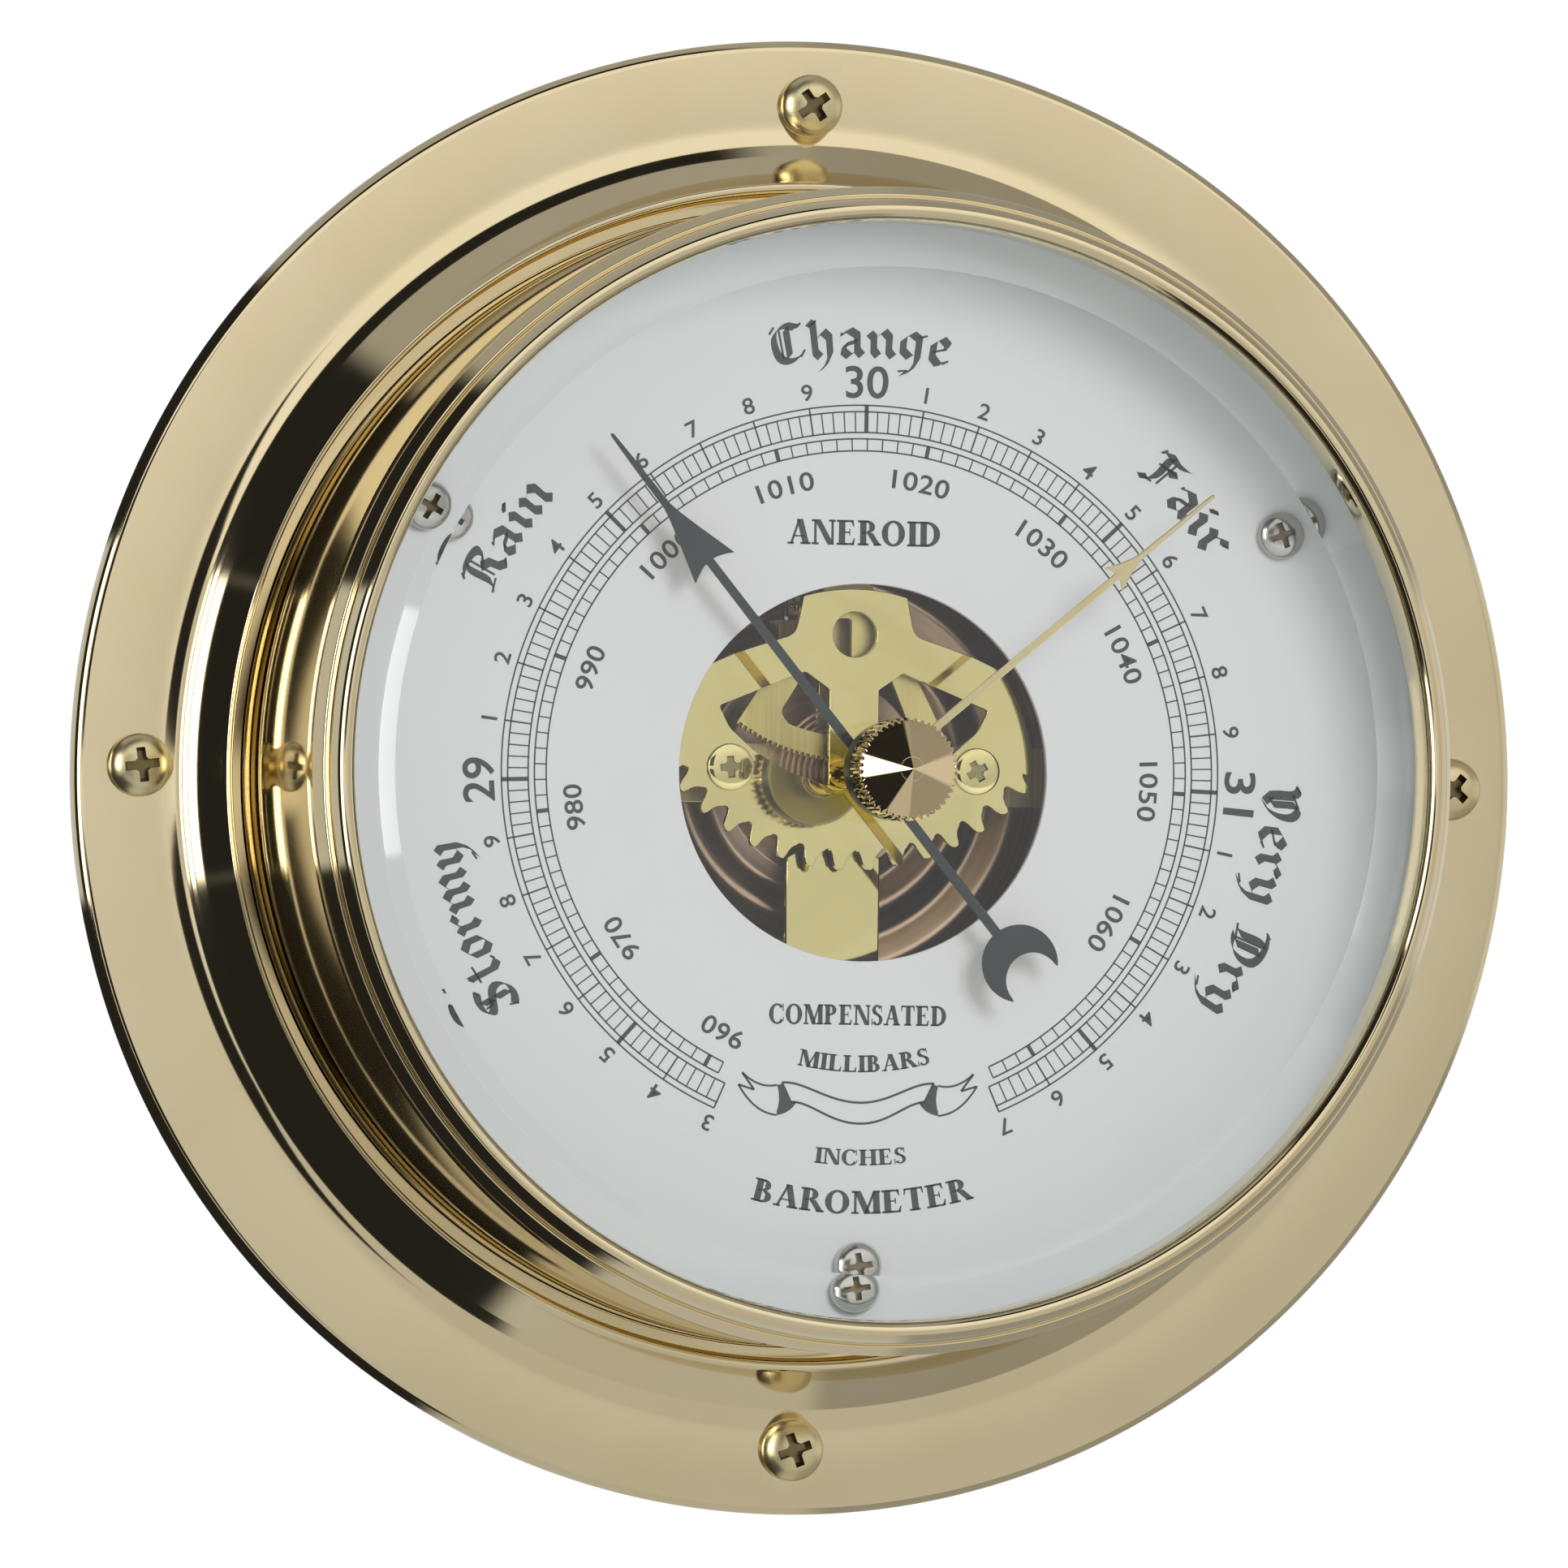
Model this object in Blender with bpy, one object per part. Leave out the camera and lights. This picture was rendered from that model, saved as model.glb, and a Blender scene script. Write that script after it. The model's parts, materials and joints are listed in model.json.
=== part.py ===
"""Ship barometer: a flanged round brass case, a bevelled glass with a set hand, a printed
dial with an open centre, and an aneroid movement behind it.

The object faces -Y, +Z is up, and its origin is the centre of the back plane. Every size is
in millimetres until the last lines, which turn them into metres. A radius is measured from
the main axis. A height h is measured forward from the back plane, so that y = -h. Left and
right are as seen from the front: -X and +X.
"""

import math

import bmesh
import bpy
from mathutils import Matrix, Vector

MM = 0.001
GAP = 0.3  # clearance between neighbouring pieces
ROUND = 40  # facets round the large rings
SHARP_ANGLE = math.radians(32)
AXIS = (0.0, 0.0)

# --- driving dimensions --------------------------------------------------------------------
# Case and glass
FLANGE_R, FLANGE_H = 90.0, 3.0
FLANGE_LIP_R, FLANGE_LIP_H = 72.2, 8.2
FLANGE_SCREW_R = 82.0  # pitch circle radius of the four flange screws
CASE_R, CASE_WALL = 69.3, 1.5
CASE_INNER_R = CASE_R - CASE_WALL
CASE_FRONT_H = 44.0
BEZEL_OPENING_R, BEZEL_FRONT_H = 65.3, 54.2
GLASS_R, GLASS_BACK_H, GLASS_FRONT_H = 66.5, 46.5, 50.5
GLASS_BEVEL_R, GLASS_EDGE_H = 60.0, 47.3
GASKET_BACK_H = 45.5

# Dial and back
DIAL_R, DIAL_H, DIAL_THICK = 66.9, 35.3, 1.0
DIAL_BACK_H = DIAL_H - DIAL_THICK
DIAL_HOLE_R = 22.5
BACK_PLATE_H = 1.6

# Movement base, capsule and main spring
BASE_H0, BASE_H1, BASE_R = 6.0, 7.5, 39.0
FOOT_H = BASE_H1 + GAP  # back face of whatever stands on the base
CAPSULE_R = 28.0
SPRING_H0, SPRING_H1 = 19.4, 20.3
SPRING_THICK = SPRING_H1 - SPRING_H0
SPRING_HALF_WIDTH = 5.75
SPRING_BEND_Z, SPRING_BEND_R = -28.0, 4.0
SPRING_FOOT_Z, SPRING_FOOT_FRONT_H = -33.0, 8.7

# Train bridge and movement plate
BRIDGE_H1, BRIDGE_THICK = 22.6, 1.0
BRIDGE_H0 = BRIDGE_H1 - BRIDGE_THICK
BRIDGE_HALF_X, BRIDGE_HALF_Z = 33.0, 3.6
BRIDGE_END_X = BRIDGE_HALF_X - 1.8
BRIDGE_FOOT_FRONT_H = 8.8
PLATE_H, PLATE_THICK, PLATE_R = 30.0, 1.0, 22.0
PLATE_BACK_H = PLATE_H - PLATE_THICK
PLATE_TEETH_Z = 17.0  # centre of the arc of teeth on the movement plate
PLATE_TEETH, PLATE_TOOTH_DEG, PLATE_TOOTH_R = 14, 7.4, 28.6

# Sector, pinion, rocker and link
SECTOR_Z = 25.0  # height of the sector's pivot above the main axis
SECTOR_TEETH, PINION_TEETH = 210, 14
MODULE = SECTOR_Z * 2 / (SECTOR_TEETH + PINION_TEETH)
SECTOR_H0, SECTOR_H1 = 26.0, 27.0
SECTOR_RIM_INNER_R = 20.5
PIVOT_END_H = BRIDGE_H0 + 0.1  # back end of the sector and pinion arbors
TAIL = 5.0  # sector pivot down to its tail pin
LINK_H, LINK_Z = 24.8, SECTOR_Z - TAIL
ROCKER_X, ROCKER_H, ROCKER_ARM = -5.5, 17.5, 6.0
ROCKER_ARM_Z = (12.8, 14.4)

# Hands and knob. Hand angles are clockwise from the top.
HAND_ANGLE, HAND_H0, HAND_H1 = -39.3, 39.6, 40.0
MOON_U, MOON_R = -29.1, 4.65  # crescent's outer circle: place along the hand, radius
BITE_U, BITE_R = -31.7, 3.35  # crescent's inner circle
SET_HAND_ANGLE, SET_HAND_H0, SET_HAND_H1 = 50.0, 45.1, 45.6
WASHER_FRONT_H = 54.6
KNOB_R, KNOB_TIP_H = 6.1, 62.4
KNURL_SCALE = 0.95  # radius of a knurl groove over that of a ridge

# --- finishes ------------------------------------------------------------------------------
BRASS = dict(colour=(0.78, 0.66, 0.38), metallic=1.0, roughness=0.08)
BRASS_BRUSHED = dict(colour=(0.72, 0.58, 0.28), metallic=1.0, roughness=0.30)
COPPER = dict(colour=(0.36, 0.22, 0.14), metallic=1.0, roughness=0.28)
COPPER_BRIGHT = dict(colour=(0.62, 0.36, 0.22), metallic=1.0, roughness=0.2)
BRONZE = dict(colour=(0.16, 0.12, 0.09), metallic=0.9, roughness=0.45)
STEEL = dict(colour=(0.58, 0.57, 0.53), metallic=1.0, roughness=0.25)
BLACK = dict(colour=(0.02, 0.02, 0.02), metallic=0.0, roughness=0.45)
WHITE = dict(colour=(0.80, 0.80, 0.79), metallic=0.0, roughness=0.45)
CLEAR = dict(colour=(0.93, 0.97, 0.95), metallic=0.0, roughness=0.02, alpha=0.35)


def material(name, colour, metallic, roughness, alpha=1.0):
    mat = bpy.data.materials.new(name)
    mat.use_nodes = True
    inputs = mat.node_tree.nodes["Principled BSDF"].inputs
    inputs["Base Color"].default_value = (*colour, 1.0)
    inputs["Metallic"].default_value = metallic
    inputs["Roughness"].default_value = roughness
    inputs["Alpha"].default_value = alpha
    if alpha < 1.0:
        inputs["Transmission Weight"].default_value = 1.0
    return mat


def dress(obj, finish):
    """Gives obj its own material. Done last, as a boolean may leave slots behind."""
    obj.data.materials.clear()
    obj.data.materials.append(material(obj.name + "_finish", **finish))


# --- solids --------------------------------------------------------------------------------
def shade(mesh):
    mesh.shade_smooth()
    mesh.set_sharp_from_angle(angle=SHARP_ANGLE)


def finish_mesh(name, bm, centre=(0.0, 0.0, 0.0)):
    """A named object from bm, drawn in (x, y, z), with its origin at centre."""
    bmesh.ops.recalc_face_normals(bm, faces=bm.faces)
    origin = Vector(centre)
    bmesh.ops.translate(bm, verts=bm.verts, vec=-origin)
    mesh = bpy.data.meshes.new(name)
    bm.to_mesh(mesh)
    bm.free()
    shade(mesh)
    obj = bpy.data.objects.new(name, mesh)
    obj.location = origin
    bpy.context.scene.collection.objects.link(obj)
    return obj


def turned(name, profile, steps, centre=AXIS, knurled=()):
    """A solid of revolution about the axis through centre (x, z), parallel to Y.

    profile is a closed loop of (radius, h). A point with radius 0 lies on the axis. Every
    other step is cut in at the profile points whose indices are in knurled.
    """
    bm = bmesh.new()
    rings = []
    for i, (radius, h) in enumerate(profile):
        if radius == 0.0:
            rings.append([bm.verts.new((centre[0], -h, centre[1]))] * steps)
            continue
        ring = []
        for k in range(steps):
            angle = 2 * math.pi * k / steps
            reach = radius * (KNURL_SCALE if i in knurled and k % 2 else 1.0)
            x = centre[0] + reach * math.sin(angle)
            z = centre[1] + reach * math.cos(angle)
            ring.append(bm.verts.new((x, -h, z)))
        rings.append(ring)
    for i, ring in enumerate(rings):
        after = rings[(i + 1) % len(rings)]
        if ring[0] is ring[1] and after[0] is after[1]:
            continue  # both points lie on the axis
        for k in range(steps):
            j = (k + 1) % steps
            corners = []
            for vert in (ring[k], ring[j], after[j], after[k]):
                if vert not in corners:
                    corners.append(vert)
            if len(corners) > 2:
                bm.faces.new(corners)
    return finish_mesh(name, bm, (centre[0], 0.0, centre[1]))


def band(inner_r, outer_r, h0, h1):
    """The profile of a plain tube."""
    return [(inner_r, h0), (outer_r, h0), (outer_r, h1), (inner_r, h1)]


def stepped(start_h, *sections):
    """The profile of a stepped pin from start_h. Each section is (radius, end h)."""
    profile = [(0, start_h)]
    for radius, end_h in sections:
        profile += [(radius, profile[-1][1]), (radius, end_h)]
    return profile + [(0, profile[-1][1])]


def thicken(bm, offset):
    """Extrudes all the faces of bm by offset."""
    grown = bmesh.ops.extrude_face_region(bm, geom=bm.faces[:])
    moved = [item for item in grown["geom"] if isinstance(item, bmesh.types.BMVert)]
    bmesh.ops.translate(bm, verts=moved, vec=offset)


def plate(name, outline, h0, h1, holes=(), centre=AXIS):
    """A flat plate from h0 to h1, from a closed (x, z) outline with optional holes."""
    bm = bmesh.new()
    edges = []
    for loop in (outline, *holes):
        verts = [bm.verts.new((x, -h0, z)) for x, z in loop]
        edges += [bm.edges.new((verts[i - 1], verts[i])) for i in range(len(verts))]
    bmesh.ops.triangle_fill(bm, use_beauty=True, edges=edges, normal=(0, 1, 0))
    thicken(bm, (0, -(h1 - h0), 0))
    return finish_mesh(name, bm, (centre[0], 0.0, centre[1]))


def strip(name, path, half_width):
    """A bent strip centred on x = 0. path is its closed side outline of (z, h)."""
    bm = bmesh.new()
    bm.faces.new([bm.verts.new((-half_width, -h, z)) for z, h in path])
    thicken(bm, (2 * half_width, 0, 0))
    return finish_mesh(name, bm)


def block(name, x_span, z_span, h_span):
    """A box. Each span is (low, high)."""
    (x0, x1), (z0, z1), (h0, h1) = x_span, z_span, h_span
    place = Matrix.Translation(((x0 + x1) / 2, -(h0 + h1) / 2, (z0 + z1) / 2))
    size = Matrix.Diagonal((x1 - x0, h1 - h0, z1 - z0, 1.0))
    bm = bmesh.new()
    bmesh.ops.create_cube(bm, size=1.0, matrix=place @ size)
    return finish_mesh(name, bm)


def rod(name, start, end, radius, steps=12):
    """A round rod between two points (x, y, z)."""
    a, b = Vector(start), Vector(end)
    turn = (b - a).to_track_quat("Z", "Y").to_matrix().to_4x4()
    bm = bmesh.new()
    bmesh.ops.create_cone(
        bm,
        cap_ends=True,
        segments=steps,
        radius1=radius,
        radius2=radius,
        depth=(b - a).length,
        matrix=Matrix.Translation((a + b) / 2) @ turn,
    )
    return finish_mesh(name, bm)


def boolean(obj, other, operation):
    """Applies an exact boolean of other to obj, removes other and cleans up the mesh."""
    mod = obj.modifiers.new("shape", "BOOLEAN")
    mod.operation = operation
    mod.solver = "EXACT"
    mod.object = other
    bpy.context.view_layer.update()
    evaluated = obj.evaluated_get(bpy.context.evaluated_depsgraph_get())
    shaped = bpy.data.meshes.new_from_object(evaluated)
    obj.modifiers.clear()
    obj.data = shaped
    bpy.data.objects.remove(other, do_unlink=True)
    bm = bmesh.new()
    bm.from_mesh(shaped)
    bmesh.ops.remove_doubles(bm, verts=bm.verts, dist=0.003)
    bmesh.ops.dissolve_degenerate(bm, edges=bm.edges, dist=0.003)
    bmesh.ops.triangulate(bm, faces=bm.faces)
    bm.to_mesh(shaped)
    bm.free()
    shaped.name = obj.name
    shade(shaped)


def join(obj, other):
    boolean(obj, other, "UNION")


def cut(obj, cutter):
    boolean(obj, cutter, "DIFFERENCE")


def drill(obj, place, radius, h0, h1, steps):
    cut(obj, turned("cutter", stepped(h0, (radius, h1)), steps, place))


# --- outlines and places, all in (x, z) ----------------------------------------------------
def circle(place, radius, steps):
    """Points on a circle, clockwise from the top."""
    angles = [math.radians(360.0 * k / steps) for k in range(steps)]
    return [(place[0] + radius * math.sin(a), place[1] + radius * math.cos(a)) for a in angles]


def circles(places, radius, steps):
    return [circle(place, radius, steps) for place in places]


def polar(radius, degrees):
    """The point at a radius and an angle anticlockwise from +X."""
    angle = math.radians(degrees)
    return radius * math.cos(angle), radius * math.sin(angle)


def triad(radius, first_degrees):
    """Three evenly spaced points on a circle about the main axis."""
    return [polar(radius, first_degrees + 120 * k) for k in range(3)]


def pair(x, z):
    """Two points mirrored across x = 0."""
    return {"left": (-x, z), "right": (x, z)}


def mirror(points):
    """Points mirrored across x = 0, in the opposite order."""
    return [(-x, z) for x, z in reversed(points)]


def cross(place, arm, half, turn):
    """The outline of a Phillips recess, turned anticlockwise by turn degrees."""
    points = [
        (arm, -half), (arm, half), (half, half), (half, arm), (-half, arm), (-half, half),
        (-arm, half), (-arm, -half), (-half, -half), (-half, -arm), (half, -arm), (half, -half),
    ]
    c, s = math.cos(math.radians(turn)), math.sin(math.radians(turn))
    return [(place[0] + u * c - v * s, place[1] + u * s + v * c) for u, v in points]


def pan_screw(name, place, seat_h, head, shank, finish, recess_turn=None, steps=10):
    """A pan-head screw whose head rests at seat_h.

    head is (radius, thickness) and shank is (radius, end h). The head has a Phillips recess
    if recess_turn is given, in degrees.
    """
    head_r, head_thick = head
    shank_r, end_h = shank
    top = seat_h + head_thick
    profile = [
        (0, end_h),
        (shank_r, end_h),
        (shank_r, seat_h),
        (head_r, seat_h),
        (head_r, seat_h + 0.4 * head_thick),
        (head_r * 0.7, seat_h + 0.9 * head_thick),
        (0, top),
    ]
    screw = turned(name, profile, steps, place)
    if recess_turn is not None:
        outline = cross(place, head_r * 0.55, head_r * 0.16, recess_turn)
        cut(screw, plate("recess", outline, top - 0.5 * head_thick, top + 1.0))
    dress(screw, finish)


FLANGE_SCREWS = (  # label, place, turn of the recess
    ("top", (0, FLANGE_SCREW_R), 12),
    ("left", (-FLANGE_SCREW_R, 0), 40),
    ("bottom", (0, -FLANGE_SCREW_R), 20),
    ("right", (FLANGE_SCREW_R, 0), 5),
)
DIAL_SCREWS = triad(58.8, 30)
BACK_SCREWS = triad(65.0, 90)
BASE_SCREWS = triad(33.5, 90)
ADJUSTER = (0, SPRING_FOOT_Z)
SPRING_SCREWS = pair(3.9, SPRING_FOOT_Z - 1.2)
BRIDGE_SCREWS = pair(BRIDGE_HALF_X + 0.4, 0)
PLATE_PILLARS = pair(15.1, 0.5)
SECTOR_PIVOT = (0, SECTOR_Z)
TAIL_PIN = (0, LINK_Z)


# --- case ----------------------------------------------------------------------------------
def build_mounting_ring():
    profile = [
        (71.6, 0.0),
        (89.7, 0.0),
        (FLANGE_R, 0.3),
        (FLANGE_R, 1.4),
        (89.3, 2.6),
        (88.4, FLANGE_H),
        (79.8, FLANGE_H),
        (78.2, 3.15), (76.8, 3.65), (75.6, 4.4), (74.4, 5.35), (73.4, 6.4), (72.6, 7.5),
        (FLANGE_LIP_R, FLANGE_LIP_H - 0.1),
        (71.9, FLANGE_LIP_H),
        (71.4, FLANGE_LIP_H - 0.3),
        (71.2, 4.0),
        (70.9, 3.5),
        (CASE_R + GAP, 3.5),
        (CASE_R + GAP, 2.6),
        (71.6, 2.6),
    ]
    ring = turned("mounting_ring", profile, ROUND)
    for _, place, _ in FLANGE_SCREWS:
        drill(ring, place, 2.3, -1.0, 4.0, 12)
    dress(ring, BRASS)


def build_flange_screws():
    for label, place, turn in FLANGE_SCREWS:
        pan_screw(
            "flange_screw_" + label, place, FLANGE_H + GAP,
            head=(3.85, 2.5), shank=(1.9, 0.2), finish=BRASS, recess_turn=turn, steps=16,
        )


def build_case_body():
    """The case wall, with an outer rim at the back and an inner ledge for the back plate."""
    profile = [
        (CASE_INNER_R, 0.3),
        (71.2, 0.3),
        (71.2, 2.2),
        (CASE_R, 2.2),
        (CASE_R, CASE_FRONT_H),
        (CASE_INNER_R, CASE_FRONT_H),
        (CASE_INNER_R, 3.2),
        (63.0, 3.2),
        (63.0, BACK_PLATE_H + GAP),
        (CASE_INNER_R, BACK_PLATE_H + GAP),
    ]
    body = turned("case_body", profile, ROUND)
    for place in BACK_SCREWS:
        drill(body, place, 1.2, 1.0, 4.0, 8)
    dress(body, BRASS)


def build_bezel():
    profile = [
        (66.8, 38.0),
        (67.5, 38.0),
        (67.5, CASE_FRONT_H + GAP),
        (69.4, CASE_FRONT_H + GAP),
        (69.6, 46.5), (69.2, 49.2), (68.5, 50.4), (67.8, 53.2),
        (66.8, BEZEL_FRONT_H),
        (65.7, 53.8),
        (BEZEL_OPENING_R, 52.6),
        (BEZEL_OPENING_R, GLASS_EDGE_H + 0.6),
        (66.8, GLASS_EDGE_H + 0.6),
    ]
    dress(turned("bezel", profile, ROUND), BRASS)


def build_glass():
    """The glass, bevelled in front and bored for the set spindle, and its gasket behind."""
    profile = [
        (1.6, GLASS_BACK_H),
        (GLASS_R, GLASS_BACK_H),
        (GLASS_R, GLASS_EDGE_H),
        (65.6, GLASS_EDGE_H + 0.1),
        (GLASS_BEVEL_R, GLASS_FRONT_H),
        (1.6, GLASS_FRONT_H),
    ]
    dress(turned("glass", profile, ROUND), CLEAR)
    gasket = band(65.4, 66.4, GASKET_BACK_H, GLASS_BACK_H - GAP)
    dress(turned("glass_gasket", gasket, 32), BLACK)


def build_rehaut():
    """The white ring between the dial and the gasket."""
    profile = band(65.6, 66.5, DIAL_H + GAP, GASKET_BACK_H - GAP)
    dress(turned("rehaut_ring", profile, ROUND), WHITE)


# --- dial ----------------------------------------------------------------------------------
def build_dial():
    holes = [circle(AXIS, DIAL_HOLE_R, 32), *circles(DIAL_SCREWS, 1.5, 8)]
    dress(plate("dial", circle(AXIS, DIAL_R, ROUND), DIAL_BACK_H, DIAL_H, holes), WHITE)


def build_dial_mounts():
    """The dial's screws and pillars."""
    # The last section runs backward: it is the screw's bore.
    pillar = stepped(0.3, (1.2, BACK_PLATE_H + GAP), (2.8, DIAL_BACK_H - GAP), (1.45, 27.6))
    for k, place in enumerate(DIAL_SCREWS, 1):
        pan_screw(
            f"dial_screw_{k}", place, DIAL_H + GAP,
            head=(2.85, 1.7), shank=(1.1, 28.0), finish=STEEL, recess_turn=25 * k, steps=12,
        )
        dress(turned(f"dial_pillar_{k}", pillar, 12, place), BRASS_BRUSHED)


# --- back and movement base ----------------------------------------------------------------
def build_back_plate():
    """The back plate and the screws that hold it, countersunk from behind."""
    holes = circles(DIAL_SCREWS, 1.5, 8) + circles(BACK_SCREWS, 1.2, 8)
    holes += circles(BASE_SCREWS, 1.6, 8) + [circle(ADJUSTER, 3.0, 12)]
    outline = circle(AXIS, CASE_INNER_R - GAP, ROUND)
    back_plate = plate("back_plate", outline, 0.0, BACK_PLATE_H, holes)
    screw = stepped(0.15, (1.8, 0.65), (0.9, 4.4))
    for k, place in enumerate(BACK_SCREWS, 1):
        drill(back_plate, place, 2.1, -1, 0.95, 12)
        dress(turned(f"back_screw_{k}", screw, 12, place), BRASS_BRUSHED)
    dress(back_plate, BRASS_BRUSHED)


def build_movement_base():
    holes = [circle(AXIS, 2.4, 16), circle(ADJUSTER, 1.9, 12), *circles(BASE_SCREWS, 1.6, 8)]
    holes += circles(SPRING_SCREWS.values(), 1.2, 8) + circles(BRIDGE_SCREWS.values(), 1.2, 8)
    outline = circle(AXIS, BASE_R, 32)
    dress(plate("movement_base", outline, BASE_H0, BASE_H1, holes), BRONZE)


def build_base_mounts():
    """The spacers behind the movement base and the screws through them."""
    spacer = band(1.6, 2.8, BACK_PLATE_H + GAP, BASE_H0 - GAP)
    for k, place in enumerate(BASE_SCREWS, 1):
        dress(turned(f"base_spacer_{k}", spacer, 12, place), BRASS_BRUSHED)
        pan_screw(
            f"movement_screw_{k}", place, BASE_H1 + GAP,
            head=(2.6, 1.5), shank=(1.2, 0.3), finish=STEEL, recess_turn=15,
        )


def build_adjuster():
    """The adjuster screw, with its slotted head at the back."""
    screw = turned("adjuster_screw", stepped(0.2, (2.6, 2.4), (1.5, BASE_H1)), 16, ADJUSTER)
    cut(screw, block("slot", (-3, 3), (SPRING_FOOT_Z - 0.35, SPRING_FOOT_Z + 0.35), (-1, 1.1)))
    dress(screw, STEEL)


# --- capsule -------------------------------------------------------------------------------
CAPSULE_LOWER = [  # (radius, h)
    (0, 6.3), (2.0, 6.3), (2.0, 8.0), (12.0, 8.0), (16.0, 8.6), (20.0, 8.0), (23.5, 8.6),
    (CAPSULE_R, 10.6), (CAPSULE_R, 11.1),
    (23.3, 9.2), (20.0, 8.6), (16.0, 9.2), (12.0, 8.6), (0, 8.6),
]
CAPSULE_UPPER = [  # (radius, h)
    (3.5, 13.4), (12.0, 13.4), (14.2, 12.6), (17.0, 14.0), (20.2, 12.6), (23.5, 14.0),
    (26.4, 12.7), (27.4, 11.4), (CAPSULE_R, 11.4), (CAPSULE_R, 12.0), (26.9, 13.5),
    (23.5, 14.8), (20.2, 13.4), (17.0, 14.8), (14.2, 13.3), (12.0, 14.2), (3.5, 14.2),
]
CAPSULE_POST = [  # (radius, h)
    (0, 12.4), (3.1, 12.4), (3.1, 13.4), (2.0, 13.8), (2.0, 19.0), (0.8, 19.0),
    (0.8, 20.9), (0, 20.9),
]


def build_capsule():
    """The corrugated back and front halves, and the post up to the main spring."""
    dress(turned("capsule_lower", CAPSULE_LOWER, 28), COPPER)
    dress(turned("capsule_upper", CAPSULE_UPPER, 28), COPPER)
    dress(turned("capsule_post", CAPSULE_POST, 16), BRASS_BRUSHED)


# --- main spring ---------------------------------------------------------------------------
def spring_bend(radius):
    """A quarter turn of (z, h) from the blade into the leg."""
    points = []
    for k in range(7):
        a = math.radians(15 * k)
        z = SPRING_BEND_Z - radius * math.sin(a)
        points.append((z, SPRING_H1 - SPRING_BEND_R + radius * math.cos(a)))
    return points


def build_main_spring():
    """A blade in front of the capsule, bent back at the bottom to a foot on the base."""
    leg_z = SPRING_BEND_Z - SPRING_BEND_R
    path = [(15.0, SPRING_H0), (15.0, SPRING_H1), *spring_bend(SPRING_BEND_R)]
    path += [(leg_z, SPRING_FOOT_FRONT_H), (leg_z - 5.0, SPRING_FOOT_FRONT_H)]
    path += [(leg_z - 5.0, FOOT_H), (leg_z + SPRING_THICK, FOOT_H)]
    path += spring_bend(SPRING_BEND_R - SPRING_THICK)[::-1]
    spring = strip("main_spring", path, SPRING_HALF_WIDTH)
    for side, place in zip((-1, 1), SPRING_SCREWS.values()):
        # Cutting away both sides leaves a narrow tongue at the upper end of the blade.
        x_span = sorted((side * 2.4, side * 9.0))
        cut(spring, block("tongue_side", x_span, (-9.0, 18.0), (17.0, 22.0)))
        drill(spring, place, 1.25, 7.0, 10.0, 8)
    drill(spring, AXIS, 1.2, 17.0, 22.0, 12)
    dress(spring, BRASS)


def build_spring_screws():
    for label, place in SPRING_SCREWS.items():
        pan_screw(
            "spring_screw_" + label, place, SPRING_FOOT_FRONT_H + GAP,
            head=(1.9, 1.2), shank=(0.9, BASE_H0), finish=STEEL,
        )


# --- train bridge --------------------------------------------------------------------------
def build_train_bridge():
    """A bar on two legs, with an upright arm that carries the sector's pivot."""
    arm_half_x, arm_top = 2.6, SECTOR_Z + 3.2
    right_side = [
        (BRIDGE_END_X, -BRIDGE_HALF_Z),
        (BRIDGE_END_X, BRIDGE_HALF_Z),
        (arm_half_x, BRIDGE_HALF_Z),
        (arm_half_x, arm_top),
    ]
    left_side = mirror(right_side)
    outline = [left_side[-1], *right_side, *left_side[:-1]]
    bridge = plate("train_bridge", outline, BRIDGE_H0, BRIDGE_H1)
    leg_inner_x = BRIDGE_HALF_X - 2.8
    z_span = (-BRIDGE_HALF_Z, BRIDGE_HALF_Z)
    for side, label in ((-1, "left"), (1, "right")):
        leg_x = sorted((side * leg_inner_x, side * BRIDGE_END_X))
        join(bridge, block("leg", leg_x, z_span, (FOOT_H, BRIDGE_H0 + 0.5)))
        foot_x = sorted((side * (leg_inner_x + 0.4), side * (BRIDGE_HALF_X + 3.0)))
        join(bridge, block("foot", foot_x, z_span, (FOOT_H, BRIDGE_FOOT_FRONT_H)))
        drill(bridge, BRIDGE_SCREWS[label], 1.2, 7.0, 9.5, 8)
        drill(bridge, PLATE_PILLARS[label], 1.2, BRIDGE_H0 - 1, BRIDGE_H1 + 1, 8)
    for place in (AXIS, SECTOR_PIVOT):
        drill(bridge, place, 0.9, BRIDGE_H0 - 1, BRIDGE_H1 + 1, 10)
    dress(bridge, BRASS_BRUSHED)


def build_bridge_screws():
    for label, place in BRIDGE_SCREWS.items():
        pan_screw(
            "bridge_screw_" + label, place, BRIDGE_FOOT_FRONT_H + GAP,
            head=(1.9, 1.2), shank=(0.8, BASE_H1 + 0.1), finish=STEEL,
        )


# --- movement plate ------------------------------------------------------------------------
PLATE_TOOTH = (  # (degrees, radius beyond PLATE_TOOTH_R) along one tooth
    (0.0, -2.3), (-1.5, -2.4), (-3.2, -0.3), (-4.6, 0.0), (-5.6, -0.5),
)
PLATE_NECK = [(7.6, 16.6), (6.9, 17.6), (6.6, 20.9)]  # right side of the upper tab, (x, z)
PLATE_WINDOW = [  # right window, (x, z)
    (3.0, 10.0), (6.0, 12.0), (11.5, 10.3), (16.5, 7.8),
    (15.2, 5.4), (12.3, 2.8), (8.0, 0.4), (3.0, -1.5),
]


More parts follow.
